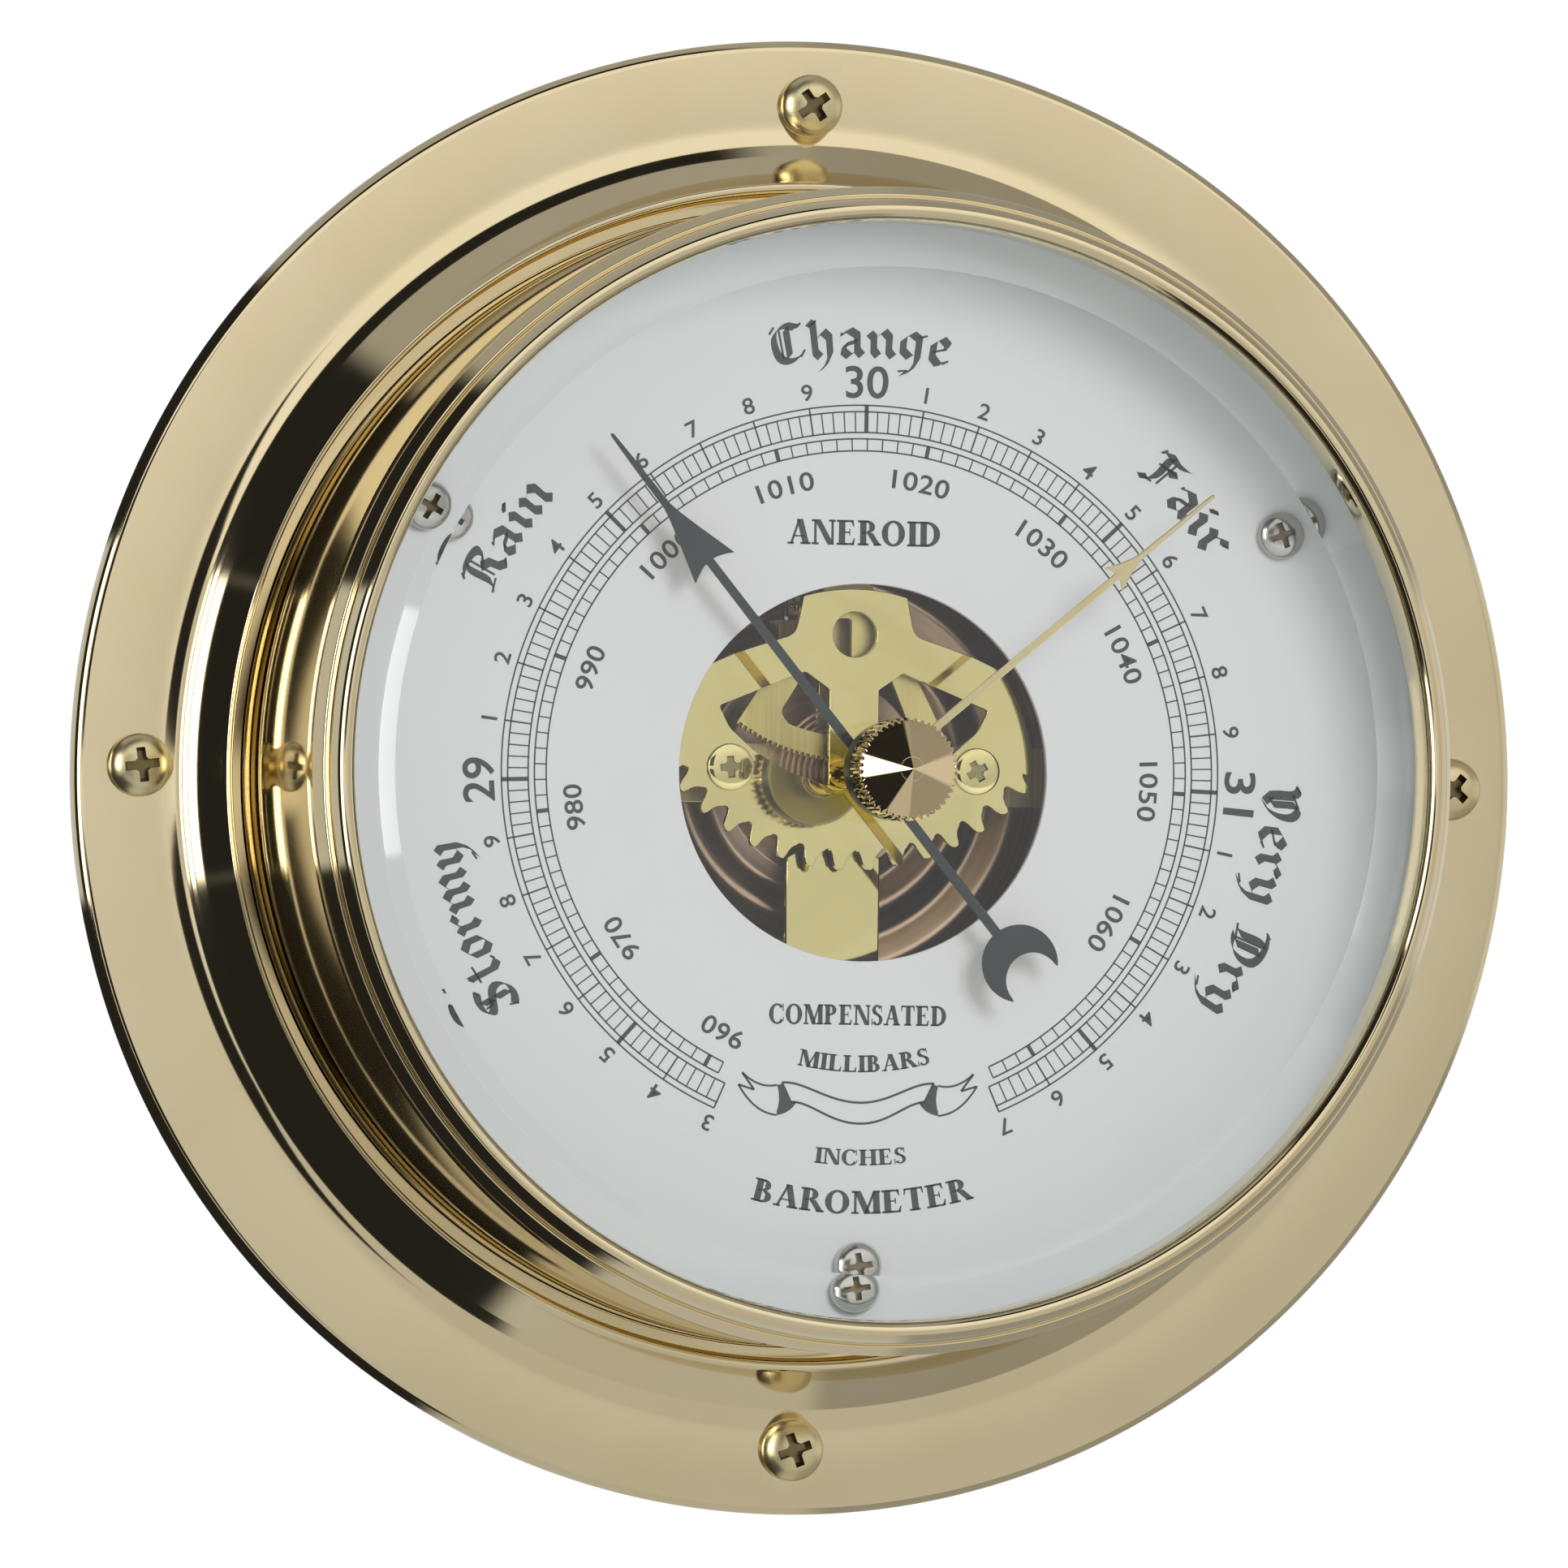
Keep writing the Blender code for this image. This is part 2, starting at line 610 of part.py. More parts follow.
def build_movement_plate():
    """The front plate of the movement, with an arc of teeth along its lower edge."""
    outline = []
    start = 180.0 + PLATE_TEETH * PLATE_TOOTH_DEG / 2
    for k in range(PLATE_TEETH):
        tooth_angle = start - k * PLATE_TOOTH_DEG
        for turn, rise in PLATE_TOOTH:
            a = math.radians(tooth_angle + turn)
            r = PLATE_TOOTH_R + rise
            outline.append((r * math.sin(a), PLATE_TEETH_Z + r * math.cos(a)))
    right_side = [polar(PLATE_R, degrees) for degrees in (0.0, 9.0, 18.0, 27.0, 34.7)]
    right_side += PLATE_NECK
    tab_top = [polar(PLATE_R, degrees) for degrees in (78.0, 84.0, 90.0, 96.0, 102.0)]
    outline += right_side + tab_top + mirror(right_side)
    holes = [
        PLATE_WINDOW,
        mirror(PLATE_WINDOW),
        circle((0, 16.6), 2.75, 16),
        circle(AXIS, 0.95, 10),
        circle(PLATE_PILLARS["right"], 1.2, 8),
        circle(PLATE_PILLARS["left"], 1.2, 8),
    ]
    dress(plate("movement_plate", outline, PLATE_BACK_H, PLATE_H, holes), BRASS)


def build_plate_mounts():
    """The pillars between the bridge and the movement plate, and their screws."""
    pillar = band(1.25, 2.3, BRIDGE_H1 + GAP, PLATE_BACK_H - GAP)
    for label, turn in (("left", 5), ("right", 20)):
        place = PLATE_PILLARS[label]
        dress(turned("plate_pillar_" + label, pillar, 12, place), BRASS_BRUSHED)
        pan_screw(
            "plate_screw_" + label, place, PLATE_H + GAP,
            head=(2.8, 0.7), shank=(0.9, BRIDGE_H0), finish=BRASS, recess_turn=turn, steps=12,
        )


# --- sector and pinion ---------------------------------------------------------------------
def tooth_points(count, addendum, dedendum, tip, root, first, last, phase):
    """(radius, angle) points of teeth first to last - 1 of a gear with count teeth.

    addendum and dedendum are in modules. tip and root are a tooth's half widths, as shares
    of the pitch. phase shifts the teeth, in pitches.
    """
    pitch_r = MODULE * count / 2
    step = 2 * math.pi / count
    low, high = pitch_r - dedendum * MODULE, pitch_r + addendum * MODULE
    points = []
    for k in range(first, last):
        a = (k + phase) * step
        for shift, r in ((-root, low), (-tip, high), (tip, high), (root, low)):
            points.append((r, a + shift * step))
    return points


def from_pivot(radius, angle):
    """The (x, z) point at an angle, in radians, from straight below the pivot towards +X."""
    return radius * math.sin(angle), SECTOR_Z - radius * math.cos(angle)


# Edges of the sector's openings, as (radius, degrees) for from_pivot.
SECTOR_LEFT_EDGE = [(SECTOR_RIM_INNER_R, degrees) for degrees in (-4, -9, -14, -19, -23.0)]
SECTOR_LEFT_EDGE += [(19.8, -24.8), (18.6, -25.0), (9.0, -17.0), (6.6, -12.0)]
SECTOR_RIGHT_EDGE = [(18.8, 21.4), (20.0, 21.0)]
SECTOR_RIGHT_EDGE += [(SECTOR_RIM_INNER_R, degrees) for degrees in (19.0, 14.0, 9.0)]


def build_sector_gear():
    """The toothed sector with its hub at the top and a tail pin behind the middle spoke."""
    rim = tooth_points(
        SECTOR_TEETH, addendum=0.70, dedendum=1.15, tip=0.09, root=0.20,
        first=-21, last=18, phase=0.5,
    )
    outline = [from_pivot(r, a) for r, a in rim]
    outline += [from_pivot(2.7, math.radians(degrees)) for degrees in range(60, 301, 30)]
    # Two openings leave a middle spoke.
    left_open = [(0.3, SECTOR_Z - 6.4), (0.3, SECTOR_Z - SECTOR_RIM_INNER_R)]
    left_open += [from_pivot(r, math.radians(degrees)) for r, degrees in SECTOR_LEFT_EDGE]
    right_open = [(3.2, SECTOR_Z - 10.8), (4.0, SECTOR_Z - 10.6)]
    right_open += [from_pivot(r, math.radians(degrees)) for r, degrees in SECTOR_RIGHT_EDGE]
    holes = [left_open, right_open, circle(SECTOR_PIVOT, 1.1, 12)]
    gear = plate("sector_gear", outline, SECTOR_H0, SECTOR_H1, holes, SECTOR_PIVOT)
    join(gear, turned("tail_pin", stepped(24.1, (0.4, 26.5)), 8, TAIL_PIN))
    dress(gear, BRASS_BRUSHED)


def build_sector_arbor():
    sections = (0.6, BRIDGE_H1 + GAP), (1.5, SECTOR_H0 - GAP), (0.8, 28.6)
    profile = stepped(PIVOT_END_H, *sections)
    dress(turned("sector_arbor", profile, 12, SECTOR_PIVOT), BRASS_BRUSHED)


def build_pinion_arbor():
    teeth = tooth_points(
        PINION_TEETH, addendum=0.70, dedendum=1.10, tip=0.07, root=0.17,
        first=0, last=PINION_TEETH, phase=0.0,
    )
    outline = [(r * math.sin(a), r * math.cos(a)) for r, a in teeth]
    arbor = plate("pinion_arbor", outline, 25.8, 27.3)
    join(arbor, turned("shaft", stepped(PIVOT_END_H, (0.6, 40.9)), 12))
    dress(arbor, STEEL)


# --- hairspring ----------------------------------------------------------------------------
def build_hairspring():
    """A flat spiral of rectangular section."""
    turns, steps_per_turn = 4, 14
    start_r, end_r = 2.2, 8.0
    half_thick, h0, h1 = 0.18, 23.7, 25.1
    section = [(-half_thick, h0), (half_thick, h0), (half_thick, h1), (-half_thick, h1)]
    count = turns * steps_per_turn
    bm = bmesh.new()
    last = None
    for k in range(count + 1):
        a = 2 * math.pi * k / steps_per_turn
        r = start_r + (end_r - start_r) * k / count
        row = [
            bm.verts.new(((r + dr) * math.sin(a), -h, (r + dr) * math.cos(a)))
            for dr, h in section
        ]
        if last:
            for j in range(4):
                after = (j + 1) % 4
                bm.faces.new((last[j], last[after], row[after], row[j]))
        else:
            bm.faces.new(row)
        last = row
    bm.faces.new(last)
    dress(finish_mesh("hairspring", bm), COPPER_BRIGHT)


def build_hairspring_mounts():
    """The collet at the spiral's inner end and the stud above its outer turns."""
    dress(turned("hairspring_collet", band(0.9, 1.6, 23.6, 25.2), 12), BRASS_BRUSHED)
    stud = stepped(BRIDGE_H1 + GAP, (0.6, 25.4))
    dress(turned("hairspring_stud", stud, 10, (0, 9.1)), BRASS_BRUSHED)


# --- rocker and link -----------------------------------------------------------------------
def build_rocker():
    """An upright shaft with an arm and nib to the right and a drilled upright for the link."""
    rocker = rod("rocker_shaft", (ROCKER_X, -ROCKER_H, 12.2), (ROCKER_X, -ROCKER_H, 21.2), 0.8)
    nib_x = ROCKER_X + ROCKER_ARM
    upright_x = (ROCKER_X - 0.3, ROCKER_X + 0.3)
    upright_z = (LINK_Z - 1.1, LINK_Z + 1.1)
    for part in (
        ("arm", (ROCKER_X, nib_x + 0.5), ROCKER_ARM_Z, (ROCKER_H - 0.5, ROCKER_H + 0.5)),
        ("nib", (nib_x - 0.5, nib_x + 0.5), ROCKER_ARM_Z, (ROCKER_H, 19.1)),
        ("upright", upright_x, upright_z, (ROCKER_H, LINK_H + 0.9)),
    ):
        join(rocker, block(*part))
    eye_start, eye_end = (ROCKER_X - 3, -LINK_H, LINK_Z), (ROCKER_X + 3, -LINK_H, LINK_Z)
    cut(rocker, rod("eye", eye_start, eye_end, 0.6, 10))
    dress(rocker, STEEL)


def build_rocker_bracket():
    """A bar behind the bridge, with a lug bored for the rocker shaft."""
    bracket = block("rocker_bracket", (-7.3, 2.4), (16.0, 18.4), (20.5, 21.3))
    join(bracket, block("lug", (-7.3, -3.7), (16.0, 18.4), (15.9, 20.8)))
    cut(bracket, rod("bearing", (ROCKER_X, -ROCKER_H, 14), (ROCKER_X, -ROCKER_H, 20), 1.1))
    dress(bracket, BRASS_BRUSHED)


def build_link():
    """A thin rod from the rocker to the tail pin, with two collars and an eye."""
    link = rod("link_rod", (ROCKER_X - 1.4, -LINK_H, LINK_Z), (-0.9, -LINK_H, LINK_Z), 0.3, 8)
    for x in (ROCKER_X - 1.1, ROCKER_X + 0.7):
        join(link, rod("collar", (x, -LINK_H, LINK_Z), (x + 0.4, -LINK_H, LINK_Z), 0.9, 10))
    join(link, turned("eye", band(0.8, 1.3, LINK_H - 0.4, LINK_H + 0.4), 12, TAIL_PIN))
    dress(link, STEEL)


# --- hands and knob ------------------------------------------------------------------------
# Right side of each hand from the tip: (u along the hand, v to its right).
PRESSURE_HAND_SIDE = [
    (51.2, 0.18), (40.3, 0.42), (36.0, 1.45), (30.9, 3.0), (31.9, 1.2), (31.9, 0.5),
    (2.3, 0.55), (1.6, 1.7), (0.0, 2.3), (-1.6, 1.7), (-2.3, 0.55),
]
SET_HAND_SIDE = [
    (52.6, 0.2), (40.6, 0.36), (38.6, 0.75), (36.4, 1.7), (37.0, 0.5), (37.0, 0.4),
    (2.9, 0.5), (2.0, 2.0), (0.0, 2.8), (-2.0, 2.0), (-2.8, 0.0),
]


def hand_outline(angle, right_side):
    """The (x, z) outline of a symmetric hand that points at angle."""
    points = right_side + [(u, -v) for u, v in reversed(right_side) if v > 0]
    a = math.radians(angle)
    c, s = math.cos(a), math.sin(a)
    return [(u * s + v * c, u * c - v * s) for u, v in points]


def crescent_side():
    """The right side of the crescent tail: round its outer circle, then back by the bite."""
    apart = MOON_U - BITE_U
    # Angle of the horn, where the circles meet, widened a little to blunt it.
    horn = math.acos((apart**2 + MOON_R**2 - BITE_R**2) / (2 * apart * MOON_R)) + 0.09
    stem = 0.16  # angle at which the outer circle leaves the stem
    points = [(MOON_U + MOON_R - 0.1, 0.6)]
    for k in range(9):
        a = stem + (math.pi - horn - stem) * k / 8
        points.append((MOON_U + MOON_R * math.cos(a), MOON_R * math.sin(a)))
    bite_start = math.atan2(points[-1][1], points[-1][0] - BITE_U) - 0.14
    for k in range(1, 6):
        a = bite_start - bite_start * k / 6
        points.append((BITE_U + BITE_R * math.cos(a), BITE_R * math.sin(a)))
    points.append((BITE_U + BITE_R, 0.0))
    return points


def build_pressure_hand():
    dress(turned("hand_collet", band(0.9, 1.9, 37.4, 39.3), 12), BRASS_BRUSHED)
    outline = hand_outline(HAND_ANGLE, PRESSURE_HAND_SIDE + crescent_side())
    holes = [circle(AXIS, 0.9, 12)]
    dress(plate("pressure_hand", outline, HAND_H0, HAND_H1, holes), BLACK)


def build_set_hand():
    """The set hand behind the glass, and the spindle through both."""
    outline = hand_outline(SET_HAND_ANGLE, SET_HAND_SIDE)
    holes = [circle(AXIS, 1.5, 12)]
    dress(plate("set_hand", outline, SET_HAND_H0, SET_HAND_H1, holes), BRASS)
    spindle = stepped(43.8, (2.3, 44.7), (1.2, 60.0))
    dress(turned("set_spindle", spindle, 12), BRASS_BRUSHED)


def build_set_knob():
    """The knurled knob in front of the glass, and the washer behind it."""
    washer = band(1.5, 5.9, GLASS_FRONT_H + GAP, WASHER_FRONT_H)
    dress(turned("knob_washer", washer, 24), BLACK)
    profile = [
        (1.5, WASHER_FRONT_H + GAP),
        (5.6, WASHER_FRONT_H + GAP),
        (KNOB_R, 55.3),
        (KNOB_R, 59.4),
        (5.75, 59.8),
        (0, KNOB_TIP_H),
        (0, 60.3),
        (1.5, 60.3),
    ]
    dress(turned("set_knob", profile, 40, knurled=(2, 3)), BRASS)


# --- assembly ------------------------------------------------------------------------------
for old in list(bpy.data.objects):
    bpy.data.objects.remove(old, do_unlink=True)

for build in (
    build_mounting_ring, build_flange_screws, build_case_body, build_bezel, build_glass,
    build_rehaut, build_dial, build_dial_mounts, build_back_plate, build_movement_base,
    build_base_mounts, build_adjuster, build_capsule, build_main_spring, build_spring_screws,
    build_train_bridge, build_bridge_screws, build_movement_plate, build_plate_mounts,
    build_sector_gear, build_sector_arbor, build_pinion_arbor, build_hairspring,
    build_hairspring_mounts, build_rocker, build_rocker_bracket, build_link,
    build_pressure_hand, build_set_hand, build_set_knob,
):
    build()

# Millimetres become metres.
for obj in bpy.data.objects:
    obj.data.transform(Matrix.Diagonal((MM, MM, MM, 1.0)))
    obj.location = obj.location * MM
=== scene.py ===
"""An aneroid barometer with an open dial, in a round brass case on a wall flange.

The dial's axis lies along Y through the origin: the front looks towards -Y, +Z is up and +X is
to the right as seen from the front. Shapes are drawn in millimetres as (x, height, z), where
the height is the distance in front of the wall, so height = -y. Angles on the dial are degrees
clockwise from the top, unless a function says otherwise.
"""

import json
import math

import bmesh
import bpy
from mathutils import Matrix, Vector


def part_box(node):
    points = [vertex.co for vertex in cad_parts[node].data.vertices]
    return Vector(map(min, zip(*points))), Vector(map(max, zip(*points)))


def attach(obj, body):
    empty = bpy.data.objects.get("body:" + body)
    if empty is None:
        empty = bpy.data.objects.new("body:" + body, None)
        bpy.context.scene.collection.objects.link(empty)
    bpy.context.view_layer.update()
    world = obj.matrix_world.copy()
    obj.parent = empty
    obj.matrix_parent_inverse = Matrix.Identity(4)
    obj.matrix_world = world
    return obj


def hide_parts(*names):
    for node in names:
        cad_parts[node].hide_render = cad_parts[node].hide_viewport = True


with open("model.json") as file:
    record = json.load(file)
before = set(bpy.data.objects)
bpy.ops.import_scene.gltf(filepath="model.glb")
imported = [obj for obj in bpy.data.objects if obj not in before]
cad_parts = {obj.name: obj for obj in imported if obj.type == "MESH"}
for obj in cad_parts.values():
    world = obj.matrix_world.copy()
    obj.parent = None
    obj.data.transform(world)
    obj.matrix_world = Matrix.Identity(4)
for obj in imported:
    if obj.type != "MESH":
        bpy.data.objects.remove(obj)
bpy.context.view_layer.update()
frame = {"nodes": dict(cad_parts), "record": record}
NODES = frame["nodes"]
BODY = {
    member: body
    for body, members in frame["record"]["behaviour"]["bodies"].items()
    for member in members
}
SLOT = {part["node"]: part["material_slot"] for part in frame["record"]["subparts"]}
MM = 0.001


# ---------------------------------------------------------------------------- shader nodes
class Nodes:
    """Adds and links shader nodes. A value may be a number, a tuple or an output socket."""

    def __init__(self, tree):
        self.tree = tree
        tree.nodes.clear()

    def link(self, output, target):
        self.tree.links.new(output, target)

    def fill(self, node, inputs):
        for key, value in inputs.items():
            if isinstance(value, bpy.types.NodeSocket):
                self.link(value, node.inputs[key])
            else:
                node.inputs[key].default_value = value

    def node(self, kind, inputs=None, **settings):
        node = self.tree.nodes.new(kind)
        for key, value in settings.items():
            setattr(node, key, value)
        self.fill(node, inputs or {})
        return node

    def math(self, operation, a, b=0.0, clamp=False):
        node = self.node("ShaderNodeMath", {0: a, 1: b}, operation=operation, use_clamp=clamp)
        return node.outputs[0]

    def plus(self, a, b):
        return self.math("ADD", a, b)

    def times(self, a, b):
        return self.math("MULTIPLY", a, b)

    def line(self, value, lo, hi, start=0.0, end=1.0, kind="LINEAR"):
        """Goes from start to end as the value goes from lo to hi."""
        inputs = {"Value": value, "From Min": lo, "From Max": hi, "To Min": start, "To Max": end}
        return self.node("ShaderNodeMapRange", inputs, interpolation_type=kind).outputs["Result"]

    def step(self, value, lo, hi, start=0.0, end=1.0):
        return self.line(value, lo, hi, start, end, kind="SMOOTHSTEP")

    def mix(self, factor, a, b):
        """Blends two colours, each an RGB tuple or a socket."""
        a, b = ((*c, 1) if isinstance(c, tuple) else c for c in (a, b))
        return self.node("ShaderNodeMix", {0: factor, 6: a, 7: b}, data_type="RGBA").outputs[2]

    def noise(self, vector, scale, detail, rough):
        inputs = {"Vector": vector, "Scale": scale, "Detail": detail, "Roughness": rough}
        return self.node("ShaderNodeTexNoise", inputs).outputs["Fac"]

    def mapping(self, vector, scale, rotation=(0, 0, 0), location=(0, 0, 0)):
        inputs = {"Vector": vector, "Scale": scale, "Rotation": rotation, "Location": location}
        return self.node("ShaderNodeMapping", inputs).outputs["Vector"]

    def bump(self, height, strength, distance, normal=None):
        inputs = {"Strength": strength, "Distance": distance, "Height": height}
        if normal is not None:
            inputs["Normal"] = normal
        return self.node("ShaderNodeBump", inputs).outputs["Normal"]


def new_material(name):
    material = bpy.data.materials.new(name)
    material.use_nodes = True
    n = Nodes(material.node_tree)
    n.output = n.node("ShaderNodeOutputMaterial")
    shader = n.node("ShaderNodeBsdfPrincipled")
    n.link(shader.outputs[0], n.output.inputs[0])
    coords = n.node("ShaderNodeTexCoord").outputs["Object"]
    return material, n, shader, coords


def polished(name, colour, deep, rough, wear, dust=0.0):
    """Polished metal: faint swirls, hairline scratches and clouds of the deep colour."""
    material, n, shader, coords = new_material(name)
    cloud = n.noise(coords, scale=38.0, detail=4.0, rough=0.55)
    fine = n.noise(coords, scale=900.0, detail=2.0, rough=0.6)
    along_z = n.mapping(coords, scale=(2600.0, 2600.0, 60.0), rotation=(0.4, 0.9, 0.2))
    along_x = n.mapping(coords, scale=(70.0, 2300.0, 2300.0), rotation=(0.1, 0.5, 1.1))
    scratch_z = n.noise(along_z, scale=1.0, detail=2.0, rough=0.6)
    scratch_x = n.noise(along_x, scale=1.0, detail=2.0, rough=0.6)
    marks = n.math(
        "ADD", n.step(scratch_z, lo=0.66, hi=0.78), n.step(scratch_x, lo=0.67, hi=0.78), clamp=True
    )
    roughness = n.plus(rough, n.times(n.step(cloud, lo=0.4, hi=0.8), 0.02 * wear))
    roughness = n.plus(roughness, n.times(marks, 0.05 * wear))
    roughness = n.plus(roughness, n.times(n.step(fine, lo=0.5, hi=0.8), 0.015 + dust))
    wave = n.noise(coords, scale=60.0, detail=1.0, rough=0.4)
    normal = n.bump(wave, strength=0.25 * wear, distance=0.00002)
    normal = n.bump(marks, strength=0.06 * wear, distance=0.000004, normal=normal)
    n.fill(shader, {
        "Base Color": n.mix(n.step(cloud, lo=0.35, hi=0.72), colour, deep),
        "Roughness": roughness,
        "Metallic": 1.0,
        "Normal": normal,
    })
    return material


def brushed(name, colour, deep, rough):
    """Brushed metal: fine parallel lines along Z."""
    material, n, shader, coords = new_material(name)
    grain = (5200.0, 5200.0, 90.0)
    coarseness = 0.42
    line_map = n.mapping(coords, scale=tuple(s * coarseness for s in grain))
    broad_map = n.mapping(
        coords, scale=tuple(s * 0.22 * coarseness for s in grain), location=(3, 1, 2)
    )
    lines = n.noise(line_map, scale=1.0, detail=3.0, rough=0.65)
    broad = n.noise(broad_map, scale=1.0, detail=2.0, rough=0.5)
    cloud = n.noise(coords, scale=120.0, detail=3.0, rough=0.5)
    tone = n.plus(n.times(lines, 0.6), n.times(broad, 0.4))
    streaks = n.times(n.line(lines, lo=0.3, hi=0.7, start=-1.0, end=1.0), 0.07)
    n.fill(shader, {
        "Base Color": n.mix(n.line(tone, lo=0.36, hi=0.64), deep, colour),
        "Metallic": 1.0,
        "Roughness": n.plus(n.plus(rough, streaks), n.times(cloud, 0.05)),
        "Normal": n.bump(lines, strength=0.12, distance=0.00001),
    })
    return material


def turned_metal(name, colour, rough, rings_per_metre):
    """Lathe-turned metal: rings round the dial's axis."""
    material, n, shader, coords = new_material(name)
    x, y, z = n.node("ShaderNodeSeparateXYZ", {0: coords}).outputs
    radius = n.math("SQRT", n.plus(n.times(x, x), n.times(z, z)))
    place = n.times(n.plus(radius, y), rings_per_metre)
    ring = n.node("ShaderNodeTexNoise", noise_dimensions="1D")
    n.fill(ring, {"W": place, "Scale": 1.0, "Detail": 2.0})
    rings = ring.outputs["Fac"]
    shade = tuple(c * 0.8 for c in colour)
    n.fill(shader, {
        "Base Color": n.mix(n.line(rings, lo=0.3, hi=0.7), shade, colour),
        "Metallic": 1.0,
        "Roughness": n.plus(rough, n.times(rings, 0.06)),
        "Normal": n.bump(rings, strength=0.10, distance=0.000003),
    })
    return material


def painted(name, colour, rough, grain, strength, vary):
    """Paint with a fine grain, darkened by up to vary in clouds."""
    material, n, shader, coords = new_material(name)
    cloud = n.noise(coords, scale=45.0, detail=4.0, rough=0.6)
    fine = n.noise(coords, scale=grain, detail=3.0, rough=0.6)
    dark = tuple(c * (1 - vary) for c in colour)
    n.fill(shader, {
        "Base Color": n.mix(n.step(cloud, lo=0.3, hi=0.7), colour, dark),
        "Roughness": n.plus(rough - 0.04, n.times(fine, 0.08)),
        "Normal": n.bump(fine, strength=strength, distance=0.00001),
    })
    return material


def glass(name, tint):
    """Faintly smeared glass that lets shadow and diffuse rays straight through."""
    material, n, shader, coords = new_material(name)
    smear = n.noise(coords, scale=30.0, detail=3.0, rough=0.6)
    ripple = n.noise(coords, scale=12.0, detail=1.0, rough=0.5)
    n.fill(shader, {
        "Base Color": (*tint, 1),
        "Transmission Weight": 1.0,
        "IOR": 1.50,
        "Roughness": n.times(n.step(smear, lo=0.55, hi=0.9), 0.012),
        "Normal": n.bump(ripple, strength=0.05, distance=0.00002),
    })
    clear = n.node("ShaderNodeBsdfTransparent", {0: (0.97, 0.975, 0.978, 1)})
    path = n.node("ShaderNodeLightPath").outputs
    soft = n.math("MAXIMUM", path["Is Shadow Ray"], path["Is Diffuse Ray"])
    mixer = n.node("ShaderNodeMixShader", {0: soft, 1: shader.outputs[0], 2: clear.outputs[0]})
    n.link(mixer.outputs[0], n.output.inputs[0])
    return material


FINISH = {
    "polished_brass": polished(
        "brass_polished", (0.80, 0.69, 0.445), deep=(0.77, 0.65, 0.405), rough=0.06, wear=0.5),
    "screw_brass": polished(
        "brass_screw", (0.84, 0.73, 0.45), deep=(0.74, 0.62, 0.34), rough=0.30, wear=1.4,
        dust=0.03),
    # Screw recess walls: dark brass that stands both for dirt in the cross and for painted shade
    # deep in the recess
    "recess": polished(
        "screw_recess_dirt_and_shade", (0.26, 0.21, 0.11), deep=(0.16, 0.12, 0.06), rough=0.30, wear=1.2,
        dust=0.04),
    "plate_recess_dirt_and_shade": polished(
        "plate_screw_recess_dirt_and_shade", (0.42, 0.37, 0.18), deep=(0.34, 0.29, 0.13), rough=0.25, wear=1.2,
        dust=0.04),
    "plate_brass": polished(
        "brass_plate", (0.85, 0.76, 0.355), deep=(0.81, 0.71, 0.31), rough=0.04, wear=0.6,
        dust=0.01),
    "knob_brass": polished(
        "brass_knob", (0.88, 0.71, 0.44), deep=(0.84, 0.66, 0.38), rough=0.05, wear=0.25),
    "set_hand_brass": polished(
        "brass_set_hand", (0.86, 0.76, 0.45), deep=(0.76, 0.64, 0.32), rough=0.16, wear=1.0),
    "brushed_brass": brushed(
        "brass_brushed", (0.98, 0.86, 0.50), deep=(0.82, 0.67, 0.34), rough=0.30),
    "sector_brass": brushed(
        "brass_sector", (1.0, 0.90, 0.40), deep=(0.84, 0.70, 0.27), rough=0.34),
    "steel": polished(
        "nickel_plate", (0.62, 0.61, 0.56), deep=(0.44, 0.43, 0.40), rough=0.16, wear=1.6,
        dust=0.05),
    "capsule_copper": turned_metal(
        "capsule_copper", (0.86, 0.64, 0.46), rough=0.26, rings_per_metre=900.0),
    "dark_bronze": painted(
        "dark_bronze", (0.07, 0.05, 0.04), rough=0.5, grain=900.0, strength=0.2, vary=0.3),
    "hairspring_copper": turned_metal(
        "hairspring_bronze", (0.92, 0.62, 0.48), rough=0.30, rings_per_metre=1500.0),
    "black_paint": painted(
        "hand_black", (0.022, 0.032, 0.036), rough=0.38, grain=2600.0, strength=0.15, vary=0.2),
    "black_washer": painted(
        "washer_black", (0.012, 0.012, 0.013), rough=0.30, grain=1500.0, strength=0.1, vary=0.2),
    "dial_white": painted(
        "dial_enamel", (0.655, 0.658, 0.66), rough=0.42, grain=1600.0, strength=0.05, vary=0.015),
    "ink": painted(
        "dial_ink", (0.050, 0.058, 0.060), rough=0.5, grain=2600.0, strength=0.05, vary=0.25),
    "rehaut_white": painted(
        "rehaut_white", (0.60, 0.66, 0.65), rough=0.45, grain=1500.0, strength=0.05, vary=0.03),
    "glass": glass("pane_glass", tint=(0.985, 0.990, 0.992)),
    "bevel_glass": glass("bevel_glass", tint=(0.935, 0.985, 0.972)),
}


# ---------------------------------------------------------------------------- mesh helpers
def vertex(shape, x, height, z):
    return shape.verts.new((x, -height, z))


def skin(shape, rows):
    """Closes a solid over rows of vertices, each row one loop of the section."""
    for a, b in zip(rows, rows[1:]):
        for j in range(len(a)):
            k = (j + 1) % len(a)
            shape.faces.new((a[j], a[k], b[k], b[j]))
    shape.faces.new(rows[0])
    shape.faces.new(rows[-1])


def to_mesh(shape, name):
    """Turns a shape in millimetres into a mesh in metres."""
    bmesh.ops.recalc_face_normals(shape, faces=shape.faces)
    bmesh.ops.transform(shape, matrix=Matrix.Diagonal((MM, MM, MM, 1)), verts=shape.verts)
    mesh = bpy.data.meshes.new(name)
    shape.to_mesh(mesh)
    shape.free()
    return mesh


def add_object(name, data):
    obj = bpy.data.objects.new(name, data)
    bpy.context.scene.collection.objects.link(obj)
    return obj


def smooth(mesh, sharp):
    mesh.shade_smooth()
    mesh.set_sharp_from_angle(angle=math.radians(sharp))


